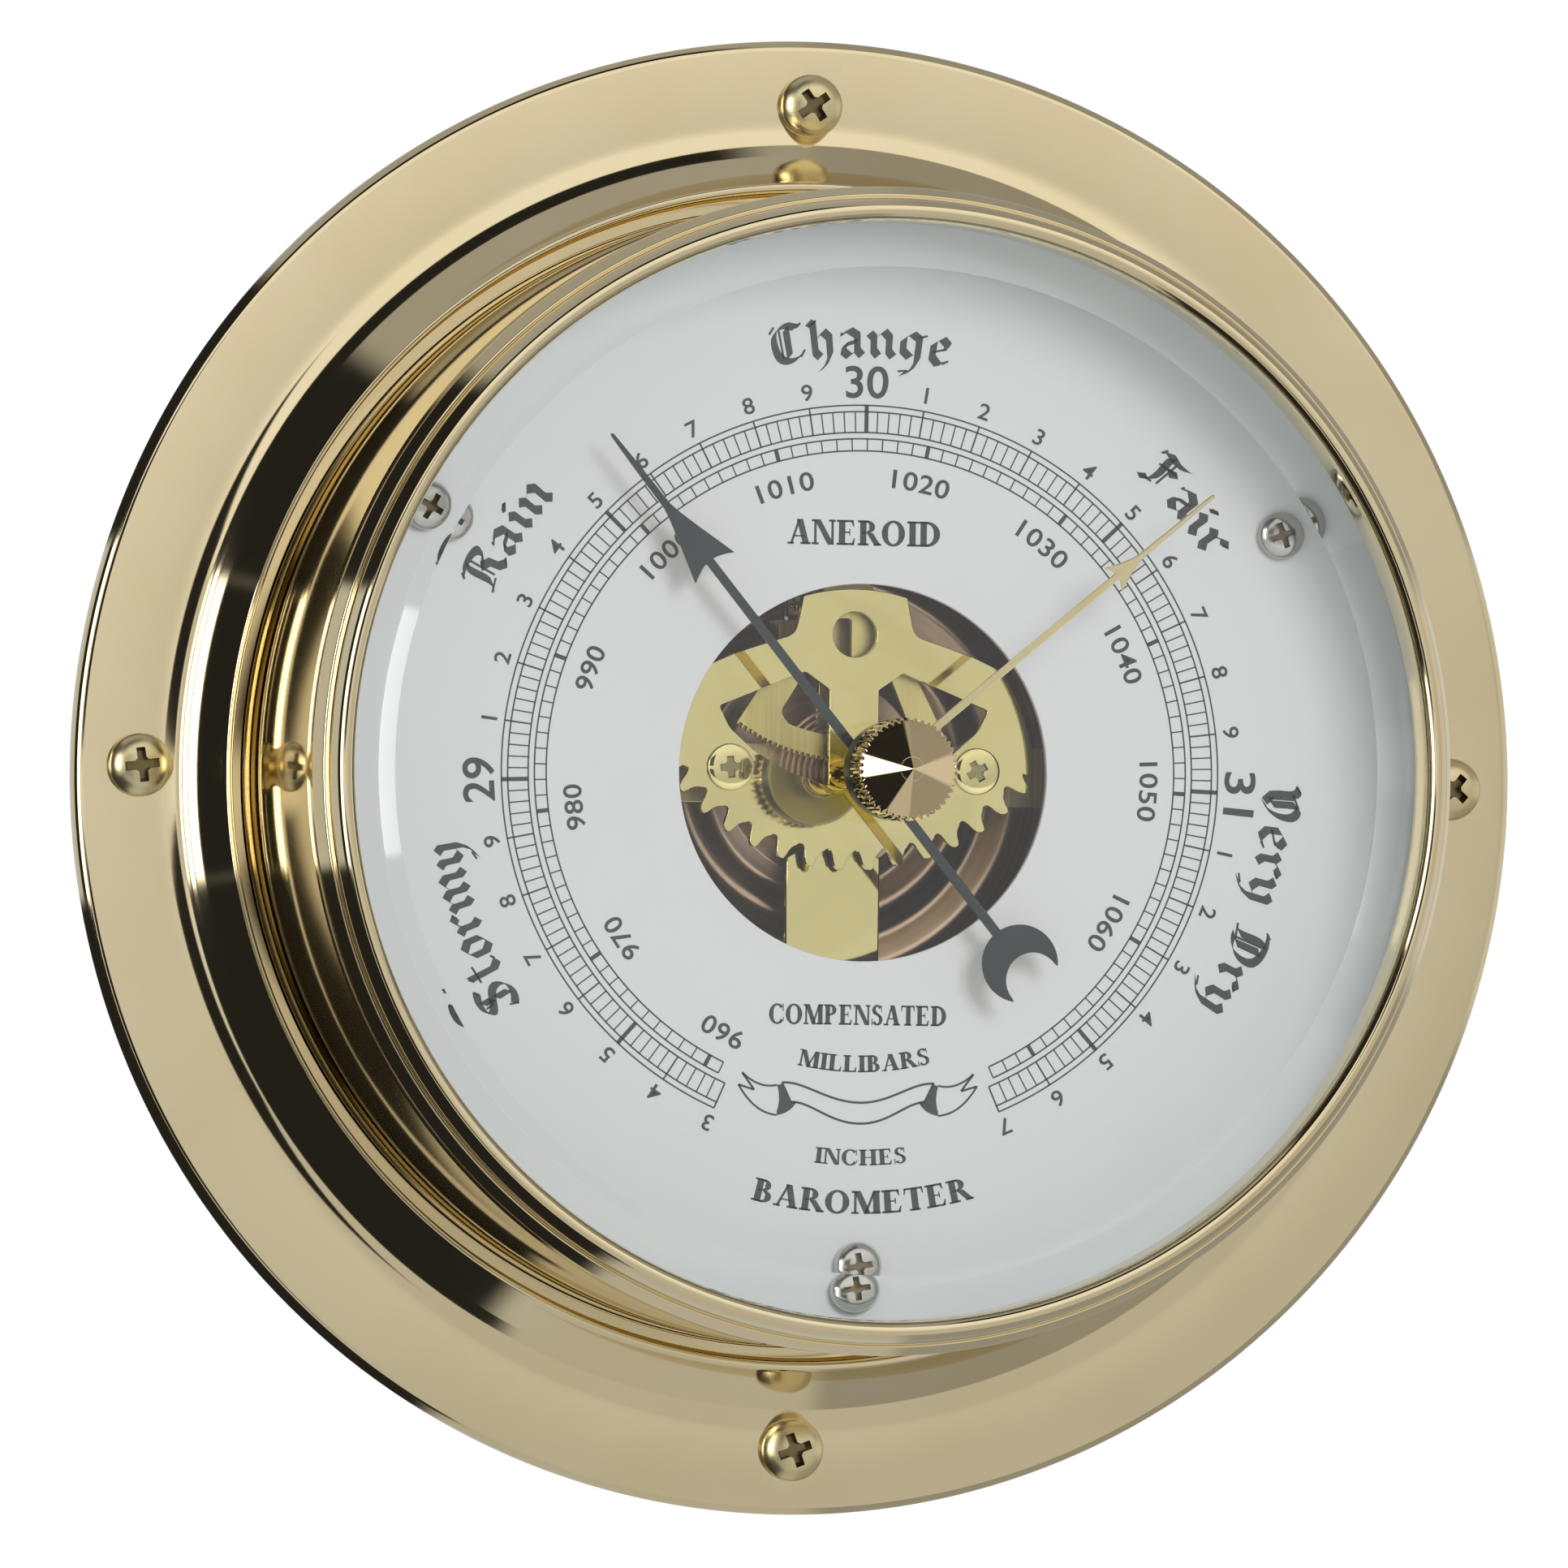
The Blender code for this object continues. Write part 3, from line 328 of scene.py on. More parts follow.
def make(name, shape, material, node=None, body=None, sharp=30.0):
    """Makes a piece that rides on its body and stands in for its CAD node, if it has one."""
    mesh = to_mesh(shape, name)
    smooth(mesh, sharp)
    obj = add_object(name, mesh)
    mesh.materials.append(material)
    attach(obj, body or BODY[node])
    if node:
        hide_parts(node)
    return obj


def soften(obj, width, segments=2, angle=50):
    edge = obj.modifiers.new("edge", "BEVEL")
    edge.width = width * MM
    edge.segments = segments
    edge.limit_method = "ANGLE"
    edge.angle_limit = math.radians(angle)


def cut(obj, shape, name, material=None):
    """Cuts the shape out of the object; the cut faces take the material."""
    mesh = to_mesh(shape, name)
    if material:
        mesh.materials.append(material)
    cutter = add_object(name, mesh)
    modifier = obj.modifiers.new("cut", "BOOLEAN")
    modifier.material_mode = "TRANSFER"
    modifier.operation = "DIFFERENCE"
    modifier.solver = "EXACT"
    modifier.object = cutter
    bpy.context.view_layer.update()
    graph = bpy.context.evaluated_depsgraph_get()
    result = bpy.data.meshes.new_from_object(obj.evaluated_get(graph))
    obj.modifiers.clear()
    obj.data = result
    bpy.data.objects.remove(cutter, do_unlink=True)


def second_finish(obj, material, chosen):
    """Gives a second material to the faces that chosen picks."""
    obj.data.materials.append(material)
    for face in obj.data.polygons:
        if chosen(face):
            face.material_index = 1


def faces_back(face):
    return face.normal.y > 0.7


def rounded(points, steps=5):
    """A closed outline with rounded corners. Points are (a, b, corner radius)."""
    out = []
    for i, (a, b, radius) in enumerate(points):
        corner = Vector((a, b))
        before = Vector(points[i - 1][:2]) - corner
        after = Vector(points[(i + 1) % len(points)][:2]) - corner
        half = before.angle(after) / 2 if radius > 0 else 0.0
        # sharp corners and nearly straight ones stay as they are
        if radius <= 0 or half > math.pi / 2 - 0.02:
            out.append((a, b))
            continue
        trim = min(radius / math.tan(half), before.length * 0.49, after.length * 0.49)
        fitted = trim * math.tan(half)
        bisector = (before.normalized() + after.normalized()).normalized()
        centre = corner + bisector * (fitted / math.sin(half))
        start = corner + before.normalized() * trim - centre
        end = corner + after.normalized() * trim - centre
        sweep = math.atan2(start.x * end.y - start.y * end.x, start.dot(end))
        for k in range(steps + 1):
            turn = sweep * k / steps
            cos, sin = math.cos(turn), math.sin(turn)
            out.append(
                (centre.x + start.x * cos - start.y * sin, centre.y + start.x * sin + start.y * cos)
            )
    return out


def lathe_shape(profile, steps, centre=(0.0, 0.0), radius_at=None):
    """Turns a closed profile of (radius, height) about an axis along Y."""
    shape = bmesh.new()
    rings = []
    for radius, height in profile:
        if radius < 1e-6:
            rings.append([vertex(shape, centre[0], height, centre[1])] * steps)
            continue
        ring = []
        for k in range(steps):
            a = 2 * math.pi * k / steps
            r = radius * (radius_at(k, radius, height) if radius_at else 1.0)
            x, z = centre[0] + r * math.sin(a), centre[1] + r * math.cos(a)
            ring.append(vertex(shape, x, height, z))
        rings.append(ring)
    for i, a in enumerate(rings):
        b = rings[(i + 1) % len(rings)]
        if a[0] is a[1] and b[0] is b[1]:
            continue
        for k in range(steps):
            j = (k + 1) % steps
            # dict keys drop the repeats where a ring is a single point
            shape.faces.new(list(dict.fromkeys((a[k], a[j], b[j], b[k]))))
    return shape


def lathe(name, profile, material, node, steps, sharp=30.0, radius_at=None):
    shape = lathe_shape(profile, steps, radius_at=radius_at)
    return make(name, shape, material, node, sharp=sharp)


def arc(x, z, radius, start, end, steps):
    """Points about (x, z), at angles clockwise from the top."""
    angles = [math.radians(start + (end - start) * k / steps) for k in range(steps + 1)]
    return [(x + radius * math.sin(a), z + radius * math.cos(a)) for a in angles]


def circle(x, z, radius, steps):
    return arc(x, z, radius, 0, 360, steps)[:-1]


def polar(radius, degrees):
    """A point at an angle anticlockwise from +X."""
    a = math.radians(degrees)
    return radius * math.cos(a), radius * math.sin(a)


def bezier(*controls, steps=8):
    points = []
    for k in range(steps + 1):
        t = k / steps
        row = controls
        while len(row) > 1:
            row = [
                ((1 - t) * a[0] + t * b[0], (1 - t) * a[1] + t * b[1])
                for a, b in zip(row, row[1:])
            ]
        points.append(row[0])
    return points


def mirrored(points):
    return [(-x, z) for x, z in points]


def plate(name, outline, back, front, material, node, holes, bevel):
    """A flat stamped plate between two heights, with softened edges."""
    shape = bmesh.new()
    edges = []
    for loop in (outline, *holes):
        verts = [vertex(shape, x, back, z) for x, z in loop]
        edges += [shape.edges.new((verts[i - 1], verts[i])) for i in range(len(verts))]
    made = bmesh.ops.triangle_fill(shape, use_beauty=True, edges=edges, normal=(0, 1, 0))
    faces = [g for g in made["geom"] if isinstance(g, bmesh.types.BMFace)]
    grown = bmesh.ops.extrude_face_region(shape, geom=faces)
    moved = [g for g in grown["geom"] if isinstance(g, bmesh.types.BMVert)]
    bmesh.ops.translate(shape, verts=moved, vec=(0, -(front - back), 0))
    obj = make(name, shape, material, node)
    soften(obj, bevel, angle=40)
    return obj


def box_of(node):
    lo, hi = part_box(node)
    return lo / MM, hi / MM


def centre_of(node):
    lo, hi = box_of(node)
    return (lo + hi) / 2


def heights_of(node):
    """The back and front heights of a CAD node."""
    lo, hi = box_of(node)
    return -hi.y, -lo.y


def radius_of(node):
    lo, hi = box_of(node)
    return (hi.x - lo.x) / 2


def hole_at(node, radius, steps=24):
    centre = centre_of(node)
    return circle(centre.x, centre.z, radius, steps)


# ------------------------------------------------------------------------------------ case
# Profiles list (radius, height, corner radius).
FLANGE_R = radius_of("mounting_ring")
FLANGE_TOP = heights_of("mounting_ring")[1]
FLANGE_FACE = 3.0
FLANGE_HOLE_CIRCLE = 82.0
# countersunk: (radius, height)
FLANGE_HOLE = [(0, -2), (2.25, -2), (2.25, 2.75), (2.75, 3.4), (2.75, 6), (0, 6)]
CASE_R = 69.3
CASE_BORE = 67.8
CASE_FRONT = heights_of("case_body")[1]
BEZEL_R = radius_of("bezel")
BEZEL_TOP = heights_of("bezel")[1]
BEVEL_START_R = 60.3


def build_flange():
    slope = bezier(
        (79.8, FLANGE_FACE), (76.4, FLANGE_FACE), (74.2, 5.2), (72.42, 7.85), steps=22
    )
    profile = [
        (71.6, 0.0, 0.05), (FLANGE_R, 0.0, 0.35), (FLANGE_R, FLANGE_FACE, 1.3),
        (80.4, FLANGE_FACE, 0.0), *[(a, b, 0.0) for a, b in slope],
        (72.15, FLANGE_TOP, 0.3), (71.45, FLANGE_TOP, 0.25), (71.2, 4.1, 0.4),
        (70.9, 3.5, 0.2), (69.6, 3.5, 0.05), (69.6, 2.6, 0.05), (71.6, 2.6, 0.05),
    ]
    brass = FINISH["polished_brass"]
    flange = lathe("flange", rounded(profile, 8), brass, "mounting_ring", 240, sharp=50)
    for x, z in ((0, 1), (-1, 0), (0, -1), (1, 0)):
        centre = (FLANGE_HOLE_CIRCLE * x, FLANGE_HOLE_CIRCLE * z)
        cut(flange, lathe_shape(FLANGE_HOLE, 40, centre), "hole")
    flange.data.materials.clear()
    flange.data.materials.append(brass)
    smooth(flange.data, 50)


build_flange()

CASE_PROFILE = [
    (CASE_BORE, 0.3, 0.05), (71.2, 0.3, 0.2), (71.2, 2.2, 0.2), (CASE_R, 2.2, 0.1),
    (CASE_R, CASE_FRONT, 0.25), (CASE_BORE, CASE_FRONT, 0.2), (CASE_BORE, 3.2, 0.1),
    (63.0, 3.2, 0.2), (63.0, 1.9, 0.2), (CASE_BORE, 1.9, 0.1),
]
lathe(
    "case_tube", rounded(CASE_PROFILE, 4), FINISH["polished_brass"], "case_body", 240, sharp=50
)

BEZEL_PROFILE = [
    (66.8, 38.0, 0.1), (67.5, 38.0, 0.1), (67.5, 44.3, 0.05), (69.25, 44.3, 0.25),
    (BEZEL_R, 45.1, 0.8), (BEZEL_R, 48.7, 1.5), (68.6, 50.65, 0.6), (68.1, 50.4, 0.12),
    (68.0, 52.0, 0.7), (67.5, BEZEL_TOP, 1.5), (65.7, BEZEL_TOP, 1.1), (65.3, 52.6, 0.5),
    (65.3, 47.9, 0.1), (66.8, 47.9, 0.05),
]
lathe("bezel_ring", rounded(BEZEL_PROFILE, 8), FINISH["polished_brass"], "bezel", 240, sharp=50)

PANE_PROFILE = [
    (1.6, 46.5, 0.1), (66.5, 46.5, 0.15), (66.5, 47.3, 0.1), (65.7, 47.36, 0.05),
    (60.0, 50.5, 0.2), (1.6, 50.5, 0.15),
]
pane = lathe("glass_pane", rounded(PANE_PROFILE, 3), FINISH["glass"], "glass", 240, sharp=8)
second_finish(
    pane,
    FINISH["bevel_glass"],
    lambda face: math.hypot(face.center.x, face.center.z) > BEVEL_START_R * MM,
)

GASKET_PROFILE = [(65.4, 45.5, 0.2), (66.4, 45.5, 0.2), (66.4, 46.2, 0.2), (65.4, 46.2, 0.2)]
lathe("gasket_ring", rounded(GASKET_PROFILE, 4), FINISH["black_washer"], "glass_gasket", 160)

SURROUND_PROFILE = [(65.6, 35.6, 0.1), (66.5, 35.6, 0.1), (66.5, 45.2, 0.2), (65.6, 45.2, 0.2)]
lathe("dial_surround", rounded(SURROUND_PROFILE, 4), FINISH["rehaut_white"], "rehaut_ring", 192)

# ------------------------------------------------------------------------------------ dial
DIAL_BACK, DIAL_FRONT = heights_of("dial")
DIAL_R = 66.9
DIAL_OPENING_R = 22.5
plate(
    "dial_face",
    circle(0, 0, DIAL_R, 200),
    DIAL_BACK,
    DIAL_FRONT,
    FINISH["dial_white"],
    "dial",
    [circle(0, 0, DIAL_OPENING_R, 144)] + [hole_at(f"dial_screw_{k}", 1.5) for k in (1, 2, 3)],
    bevel=0.1,
)


# ---------------------------------------------------------------------------------- screws
def screw(
    name, node, material, seat, end, head_radius, head_height, shank_radius, turn, steps,
    dome=0.55, arm_ratio=0.56, arm_width=0.125, recess_dirt_and_shade_finish="recess",
):
    """A domed screw with a tapered cross recess and a plain shank.

    The arms' length and half width are parts of the head's radius; turn is in degrees.
    """
    centre = centre_of(node)
    top = seat + head_height
    rim = seat + head_height * (1 - dome) * 0.8
    rise = head_height * (1 - (1 - dome) * 0.8)
    chamfer = 0.12
    profile = [
        (0, end), (shank_radius, end), (shank_radius, seat),
        (head_radius - chamfer, seat), (head_radius, seat + chamfer), (head_radius, rim),
    ]
    for k in range(1, 12):
        a = math.radians(90 * k / 12)
        profile.append((head_radius * math.cos(a) ** 0.75, rim + rise * math.sin(a)))
    profile.append((0, top))
    shape = lathe_shape(profile, steps, (centre.x, centre.z))
    obj = make(name, shape, material, node, sharp=38)

    cos, sin = math.cos(math.radians(turn)), math.sin(math.radians(turn))
    shape = bmesh.new()
    loops = []
    # height, and how far the arms' length and width are scaled there
    for height, long, wide in (
        (top - head_height * 0.62, 0.8, 0.9),
        (top + 0.6, 1.12, 1.12),
    ):
        tip = head_radius * arm_ratio * long
        half = head_radius * arm_width * wide
        inner = half * 1.55
        quarter = [(tip, -half), (tip, half), (inner, half), (half, inner)]
        cross = []
        for _ in range(4):
            cross += quarter
            quarter = [(-v, u) for u, v in quarter]
        loops.append([
            vertex(shape, centre.x + u * cos - v * sin, height, centre.z + u * sin + v * cos)
            for u, v in cross
        ])
    skin(shape, loops)
    # the recess walls take a darker brass: dirt in the cross plus painted shade in its hollow
    cut(obj, shape, "recess", FINISH[recess_dirt_and_shade_finish])
    smooth(obj.data, 38)


for side, turn in (("top", 35), ("left", 8), ("bottom", 20), ("right", 50)):
    screw(
        "wall_screw_" + side, "flange_screw_" + side, FINISH["screw_brass"],
        seat=FLANGE_FACE + 0.02, end=0.2, head_radius=3.85, head_height=2.73, shank_radius=1.9,
        turn=turn, steps=80, arm_ratio=0.54, arm_width=0.135,
    )
for k, turn in ((1, 20), (2, 60), (3, 10)):
    screw(
        f"dial_fixing_{k}", f"dial_screw_{k}", FINISH["steel"],
        seat=DIAL_FRONT + 0.1, end=28.0, head_radius=2.85, head_height=1.8, shank_radius=1.1,
        turn=turn, steps=64,
    )

# ---------------------------------------------------------------------------------- print
# Everything printed on the dial is one mesh of thin closed shapes.
INK_BACK, INK_FRONT = DIAL_FRONT + 0.004, DIAL_FRONT + 0.03
INK = bmesh.new()


def print_poly(points):
    skin(INK, [[vertex(INK, x, h, z) for x, z in points] for h in (INK_BACK, INK_FRONT)])


def print_ribbon(left, right):
    """A strip between two point lists of equal length."""
    rows = []
    for a, b in zip(left, right):
        corners = ((a, INK_BACK), (b, INK_BACK), (b, INK_FRONT), (a, INK_FRONT))
        rows.append([vertex(INK, point[0], height, point[1]) for point, height in corners])
    skin(INK, rows)


def print_arc(radius, start, end, steps, width=0.185):
    outer = arc(0, 0, radius + width / 2, start, end, steps)
    print_ribbon(outer, arc(0, 0, radius - width / 2, start, end, steps))


def print_tick(angle, inner, outer, width):
    sin, cos = math.sin(math.radians(angle)), math.cos(math.radians(angle))
    half = width / 2
    corners = ((inner, -half), (outer, -half), (outer, half), (inner, half))
    print_poly([(r * sin + v * cos, r * cos - v * sin) for r, v in corners])


def band_edges(points, width):
    """The two edges of a line of even width along the points."""
    left, right = [], []
    for i, (x, y) in enumerate(points):
        a = points[max(i - 1, 0)]
        b = points[min(i + 1, len(points) - 1)]
        run = math.hypot(b[0] - a[0], b[1] - a[1])
        across_x, across_y = -(b[1] - a[1]) / run * width / 2, (b[0] - a[0]) / run * width / 2
        left.append((x + across_x, y + across_y))
        right.append((x - across_x, y - across_y))
    return left, right


def warp_top(base, centre):
    """Maps (x, y) to the dial with tops pointing outwards, x clockwise from the centre angle."""

    def warp(x, y):
        a = math.radians(centre) + x / base
        return (base + y) * math.sin(a), (base + y) * math.cos(a)

    return warp


def warp_bottom(base, centre):
    """Maps (x, y) with tops pointing to the middle, x anticlockwise."""

    def warp(x, y):
        a = math.radians(centre) - x / base
        return (base - y) * math.sin(a), (base - y) * math.cos(a)

    return warp


# --- scales
DEGREES_PER_INCH = 92.1
MILLIBARS_PER_INCH = 33.8639
TOP_INCHES, TOP_MILLIBARS = 30.0, 1015.92  # the readings at the top of the dial
INCH_OUTER = 43.98
INCH_MIDDLE = INCH_OUTER * 0.9825
INCH_INNER = INCH_OUTER * 0.926
MILLIBAR_OUTER = INCH_OUTER * 0.9087
MILLIBAR_INNER = INCH_OUTER * 0.8761
THICK_TICK, TENTH_TICK, FINE_TICK = 0.50, 0.20, 0.155


def inch_angle(value):
    return (value - TOP_INCHES) * DEGREES_PER_INCH


def millibar_angle(value):
    return (value - TOP_MILLIBARS) * DEGREES_PER_INCH / MILLIBARS_PER_INCH


def print_scales():
    for radius in (INCH_OUTER, INCH_MIDDLE, INCH_INNER):
        print_arc(radius, inch_angle(28.3), inch_angle(31.7), 260)
    for radius in (MILLIBAR_OUTER, MILLIBAR_INNER):
        print_arc(radius, millibar_angle(959), millibar_angle(1073), 240)
    for i in range(171):
        angle = inch_angle(28.3 + i * 0.02)
        if (i - 10) % 25 == 0:  # whole and half inches
            print_tick(angle, INCH_INNER, INCH_OUTER + 0.05, THICK_TICK)
        elif i % 5 == 0:
            print_tick(angle, INCH_INNER, INCH_OUTER, TENTH_TICK)
        else:
            print_tick(angle, INCH_INNER, INCH_MIDDLE, FINE_TICK)
    for value in range(959, 1074):
        width = FINE_TICK if value % 10 else THICK_TICK
        print_tick(millibar_angle(value), MILLIBAR_INNER, MILLIBAR_OUTER, width)


# --- figures, in Blender's built-in font
FONT_CAP = 0.73


def figure_outline(text, size, spacing):
    """The filled text as (vertices, faces), centred, with figures of this height."""
    curve = bpy.data.curves.new("t", "FONT")
    curve.body = text
    curve.space_character = spacing
    curve.offset = 0.012
    curve.resolution_u = 6
    obj = add_object("t", curve)
    bpy.context.view_layer.update()
    graph = bpy.context.evaluated_depsgraph_get()
    mesh = bpy.data.meshes.new_from_object(obj.evaluated_get(graph))
    verts = [(v.co.x, v.co.y) for v in mesh.vertices]
    faces = [tuple(p.vertices) for p in mesh.polygons]
    bpy.data.objects.remove(obj, do_unlink=True)
    bpy.data.meshes.remove(mesh)
    bpy.data.curves.remove(curve)
    middle = (min(v[0] for v in verts) + max(v[0] for v in verts)) / 2
    scale = size / FONT_CAP
    return [((x - middle) * scale, (y - FONT_CAP / 2) * scale) for x, y in verts], faces


def print_figures(text, size, warp, stretch=1.0, spacing=1.0, width=None):
    verts, faces = figure_outline(text, size, spacing)
    if width:
        stretch = width / (max(v[0] for v in verts) - min(v[0] for v in verts))
    shape = bmesh.new()
    flat = [shape.verts.new((x * stretch, 0, y)) for x, y in verts]
    for face in faces:
        # the font's fill may hold a face twice
        try:
            shape.faces.new([flat[i] for i in face])
        except ValueError:
            pass
    bmesh.ops.remove_doubles(shape, verts=shape.verts, dist=1e-5)
    grown = bmesh.ops.extrude_face_region(shape, geom=shape.faces[:])
    moved = {g for g in grown["geom"] if isinstance(g, bmesh.types.BMVert)}
    for v in shape.verts:
        x, z = warp(v.co.x, v.co.z)
        v.co = Vector((x, -(INK_FRONT if v in moved else INK_BACK), z))
    mesh = bpy.data.meshes.new("tmp")
    shape.to_mesh(mesh)
    shape.free()
    INK.from_mesh(mesh)
    bpy.data.meshes.remove(mesh)


def print_all_figures():
    for tenth in range(283, 318):
        angle = inch_angle(tenth / 10)
        if tenth % 10 == 0:
            print_figures(str(tenth // 10), 3.93, warp_top(46.9, angle), width=5.3)
        else:
            print_figures(str(tenth % 10), 2.0, warp_top(45.95, angle), stretch=1.1)
    for value in range(960, 1061, 10):
        warp = warp_top(35.5, millibar_angle(value))
        width = 7.1 if value > 999 else 5.4
        print_figures(str(value), 2.3, warp, spacing=1.06, width=width)


# --- blackletter weather words, in broad-nib strokes and hairlines
NIB = 0.31
NIB_ANGLE = math.radians(42)
HAIRLINE = 0.075
BLACKLETTER_BASE = 49.7
X_HEIGHT = 3.35
MINIM = [(0.07, 0.88), (0.22, 0.72), (0.22, 0.26), (0.38, 0.07)]


def arch(x0, x1):
    """An arch from one stem at x0 into the next at x1."""
    return [(x0 + 0.02, 0.66), (x1 - 0.2, 0.97), (x1, 0.76), (x1, 0.26), (x1 + 0.16, 0.07)]


# Each letter: (advance, strokes, hairlines), as (x, y) points. The x-height is 1.
BLACKLETTER = {
    "i": (0.55, [MINIM, [(0.16, 1.36), (0.28, 1.26)]], [[(0.12, 1.3), (0.34, 1.42)]]),
    "n": (1.08, [MINIM, arch(0.22, 0.76)], []),
    "m": (1.6, [MINIM, arch(0.22, 0.74), arch(0.76, 1.28)], []),
    "r": (0.82, [MINIM, [(0.24, 0.66), (0.52, 0.98), (0.68, 0.84)]], [[(0.62, 0.8), (0.8, 0.95)]]),
    "a": (1.02, [
        [(0.14, 0.84), (0.4, 0.98), (0.66, 0.8), (0.66, 0.26), (0.82, 0.07)],
        [(0.64, 0.58), (0.22, 0.46), (0.16, 0.22), (0.36, 0.05), (0.64, 0.26)],
    ], [[(0.1, 0.78), (0.14, 0.9)]]),
    "e": (0.88, [
        [(0.44, 0.98), (0.18, 0.76), (0.18, 0.26), (0.42, 0.04), (0.6, 0.12)],
        [(0.44, 0.98), (0.66, 0.8), (0.6, 0.62)],
    ], [[(0.16, 0.44), (0.66, 0.64)], [(0.58, 0.08), (0.78, 0.24)]]),
    "o": (0.98, [
        [(0.46, 0.98), (0.18, 0.76), (0.18, 0.24), (0.42, 0.03)],
        [(0.46, 0.98), (0.72, 0.76), (0.72, 0.24), (0.42, 0.03)],
    ], []),
    "t": (0.8, [
        [(0.3, 1.34), (0.3, 0.26), (0.5, 0.05), (0.62, 0.12)],
    ], [[(0.04, 0.92), (0.68, 0.98)], [(0.18, 1.18), (0.34, 1.42)], [(0.6, 0.08), (0.76, 0.2)]]),
    "y": (1.06, [
        [(0.07, 0.9), (0.22, 0.74), (0.22, 0.26), (0.44, 0.06), (0.72, 0.28)],
        [(0.58, 0.9), (0.74, 0.74), (0.74, 0.04), (0.56, -0.32), (0.22, -0.52)],
    ], [[(0.1, -0.48), (0.4, -0.36)]]),
    "g": (1.06, [
        [(0.46, 0.98), (0.18, 0.76), (0.18, 0.34), (0.44, 0.12), (0.7, 0.34)],
        [(0.46, 0.98), (0.72, 0.82), (0.72, 0.04), (0.54, -0.34), (0.2, -0.5)],
    ], [[(0.7, 0.86), (0.98, 0.98)], [(0.06, -0.42), (0.4, -0.36)]]),
    "h": (1.06, [
        [(0.08, 1.5), (0.22, 1.34), (0.22, 0.26), (0.38, 0.07)],
        [(0.24, 0.66), (0.54, 0.98), (0.74, 0.76), (0.74, 0.12), (0.54, -0.26), (0.36, -0.36)],
    ], [[(0.1, 1.3), (0.34, 1.56)]]),
    "C": (1.3, [
        bezier((0.62, 1.5), (0.1, 1.45), (0.06, 0.75), (0.18, 0.35))
        + bezier((0.18, 0.35), (0.3, 0.02), (0.7, -0.05), (1.06, 0.26)),
        [(0.6, 1.34), (0.6, 0.24)],
        [(0.62, 1.5), (0.92, 1.34), (1.04, 1.44)],
    ], [
        [(0.36, 1.3), (0.36, 0.2)], [(0.02, 1.2), (0.22, 1.52)],
        [(0.94, 1.3), (1.12, 1.52)], [(0.98, 0.16), (1.16, 0.4)],
    ]),
    "F": (1.16, [
        [(0.1, 1.3), (0.3, 1.48), (0.62, 1.36), (0.92, 1.42), (1.06, 1.54)],
        bezier((0.44, 1.4), (0.36, 1.05), (0.52, 0.6), (0.38, 0.24))
        + [(0.22, 0.02), (0.02, 0.1)],
        [(0.46, 0.84), (0.7, 0.94), (0.86, 0.8)],
    ], [
        [(0.66, 1.34), (0.6, 0.2)], [(0.24, 0.8), (0.9, 0.96)],
        [(0.02, 0.02), (0.44, 0.14)], [(0.08, 1.2), (0.18, 1.52)],
    ]),
    "V": (1.3, [
        bezier((0.12, 1.46), (0.34, 1.42), (0.3, 1.1), (0.28, 0.7))
        + [(0.3, 0.34), (0.54, 0.06)],
        bezier((0.72, 1.5), (1.12, 1.4), (1.08, 0.7), (0.92, 0.4))
        + [(0.78, 0.16), (0.54, 0.02)],
        [(0.62, 1.34), (0.62, 0.34)],
    ], [[(0.02, 1.34), (0.24, 1.56)], [(0.28, 1.16), (0.74, 1.5)], [(0.44, 1.24), (0.44, 0.22)]]),
    "D": (1.36, [
        bezier((0.14, 1.4), (0.5, 1.62), (1.22, 1.4), (1.14, 0.72))
        + bezier((1.14, 0.72), (1.08, 0.16), (0.72, 0.02), (0.44, 0.06)),
        bezier((0.44, 1.44), (0.3, 1.0), (0.42, 0.5), (0.34, 0.22)) + [(0.18, 0.04)],
        [(0.7, 1.26), (0.7, 0.24)],
    ], [[(0.06, 0.04), (0.6, 0.16)], [(0.52, 1.3), (0.52, 0.16)], [(0.04, 1.26), (0.2, 1.54)]]),
    "R": (1.3, [
        bezier((0.1, 1.34), (0.3, 1.6), (1.1, 1.56), (1.0, 1.14)) + [(0.92, 0.92), (0.6, 0.8)],
        bezier((0.4, 1.44), (0.28, 1.0), (0.4, 0.5), (0.32, 0.24)) + [(0.16, 0.04)],
        [(0.6, 0.82), (0.86, 0.62), (0.9, 0.26), (1.1, 0.06)],
    ], [
        [(0.6, 1.36), (0.58, 0.24)], [(0.02, 0.04), (0.5, 0.16)],
        [(0.02, 1.22), (0.16, 1.48)], [(1.04, 0.04), (1.24, 0.2)],
    ]),
    "S": (1.26, [
        bezier((1.04, 1.38), (0.7, 1.66), (0.16, 1.5), (0.2, 1.14))
        + bezier((0.2, 1.14), (0.26, 0.84), (0.98, 0.9), (1.02, 0.48))
        + bezier((1.02, 0.48), (1.0, 0.02), (0.4, -0.06), (0.08, 0.24)),
        [(0.62, 1.36), (0.62, 0.86)],
        [(0.6, 0.72), (0.6, 0.2)],
    ], [[(0.96, 1.26), (1.14, 1.5)], [(0.02, 0.1), (0.14, 0.42)], [(0.44, 1.32), (0.44, 0.92)]]),
    " ": (0.6, [], []),
}


def low_cap(points):
    """Lowers what rises above the x-height."""
    return [(x, y if y <= 1.0 else 1.0 + (y - 1.0) * 0.7) for x, y in points]


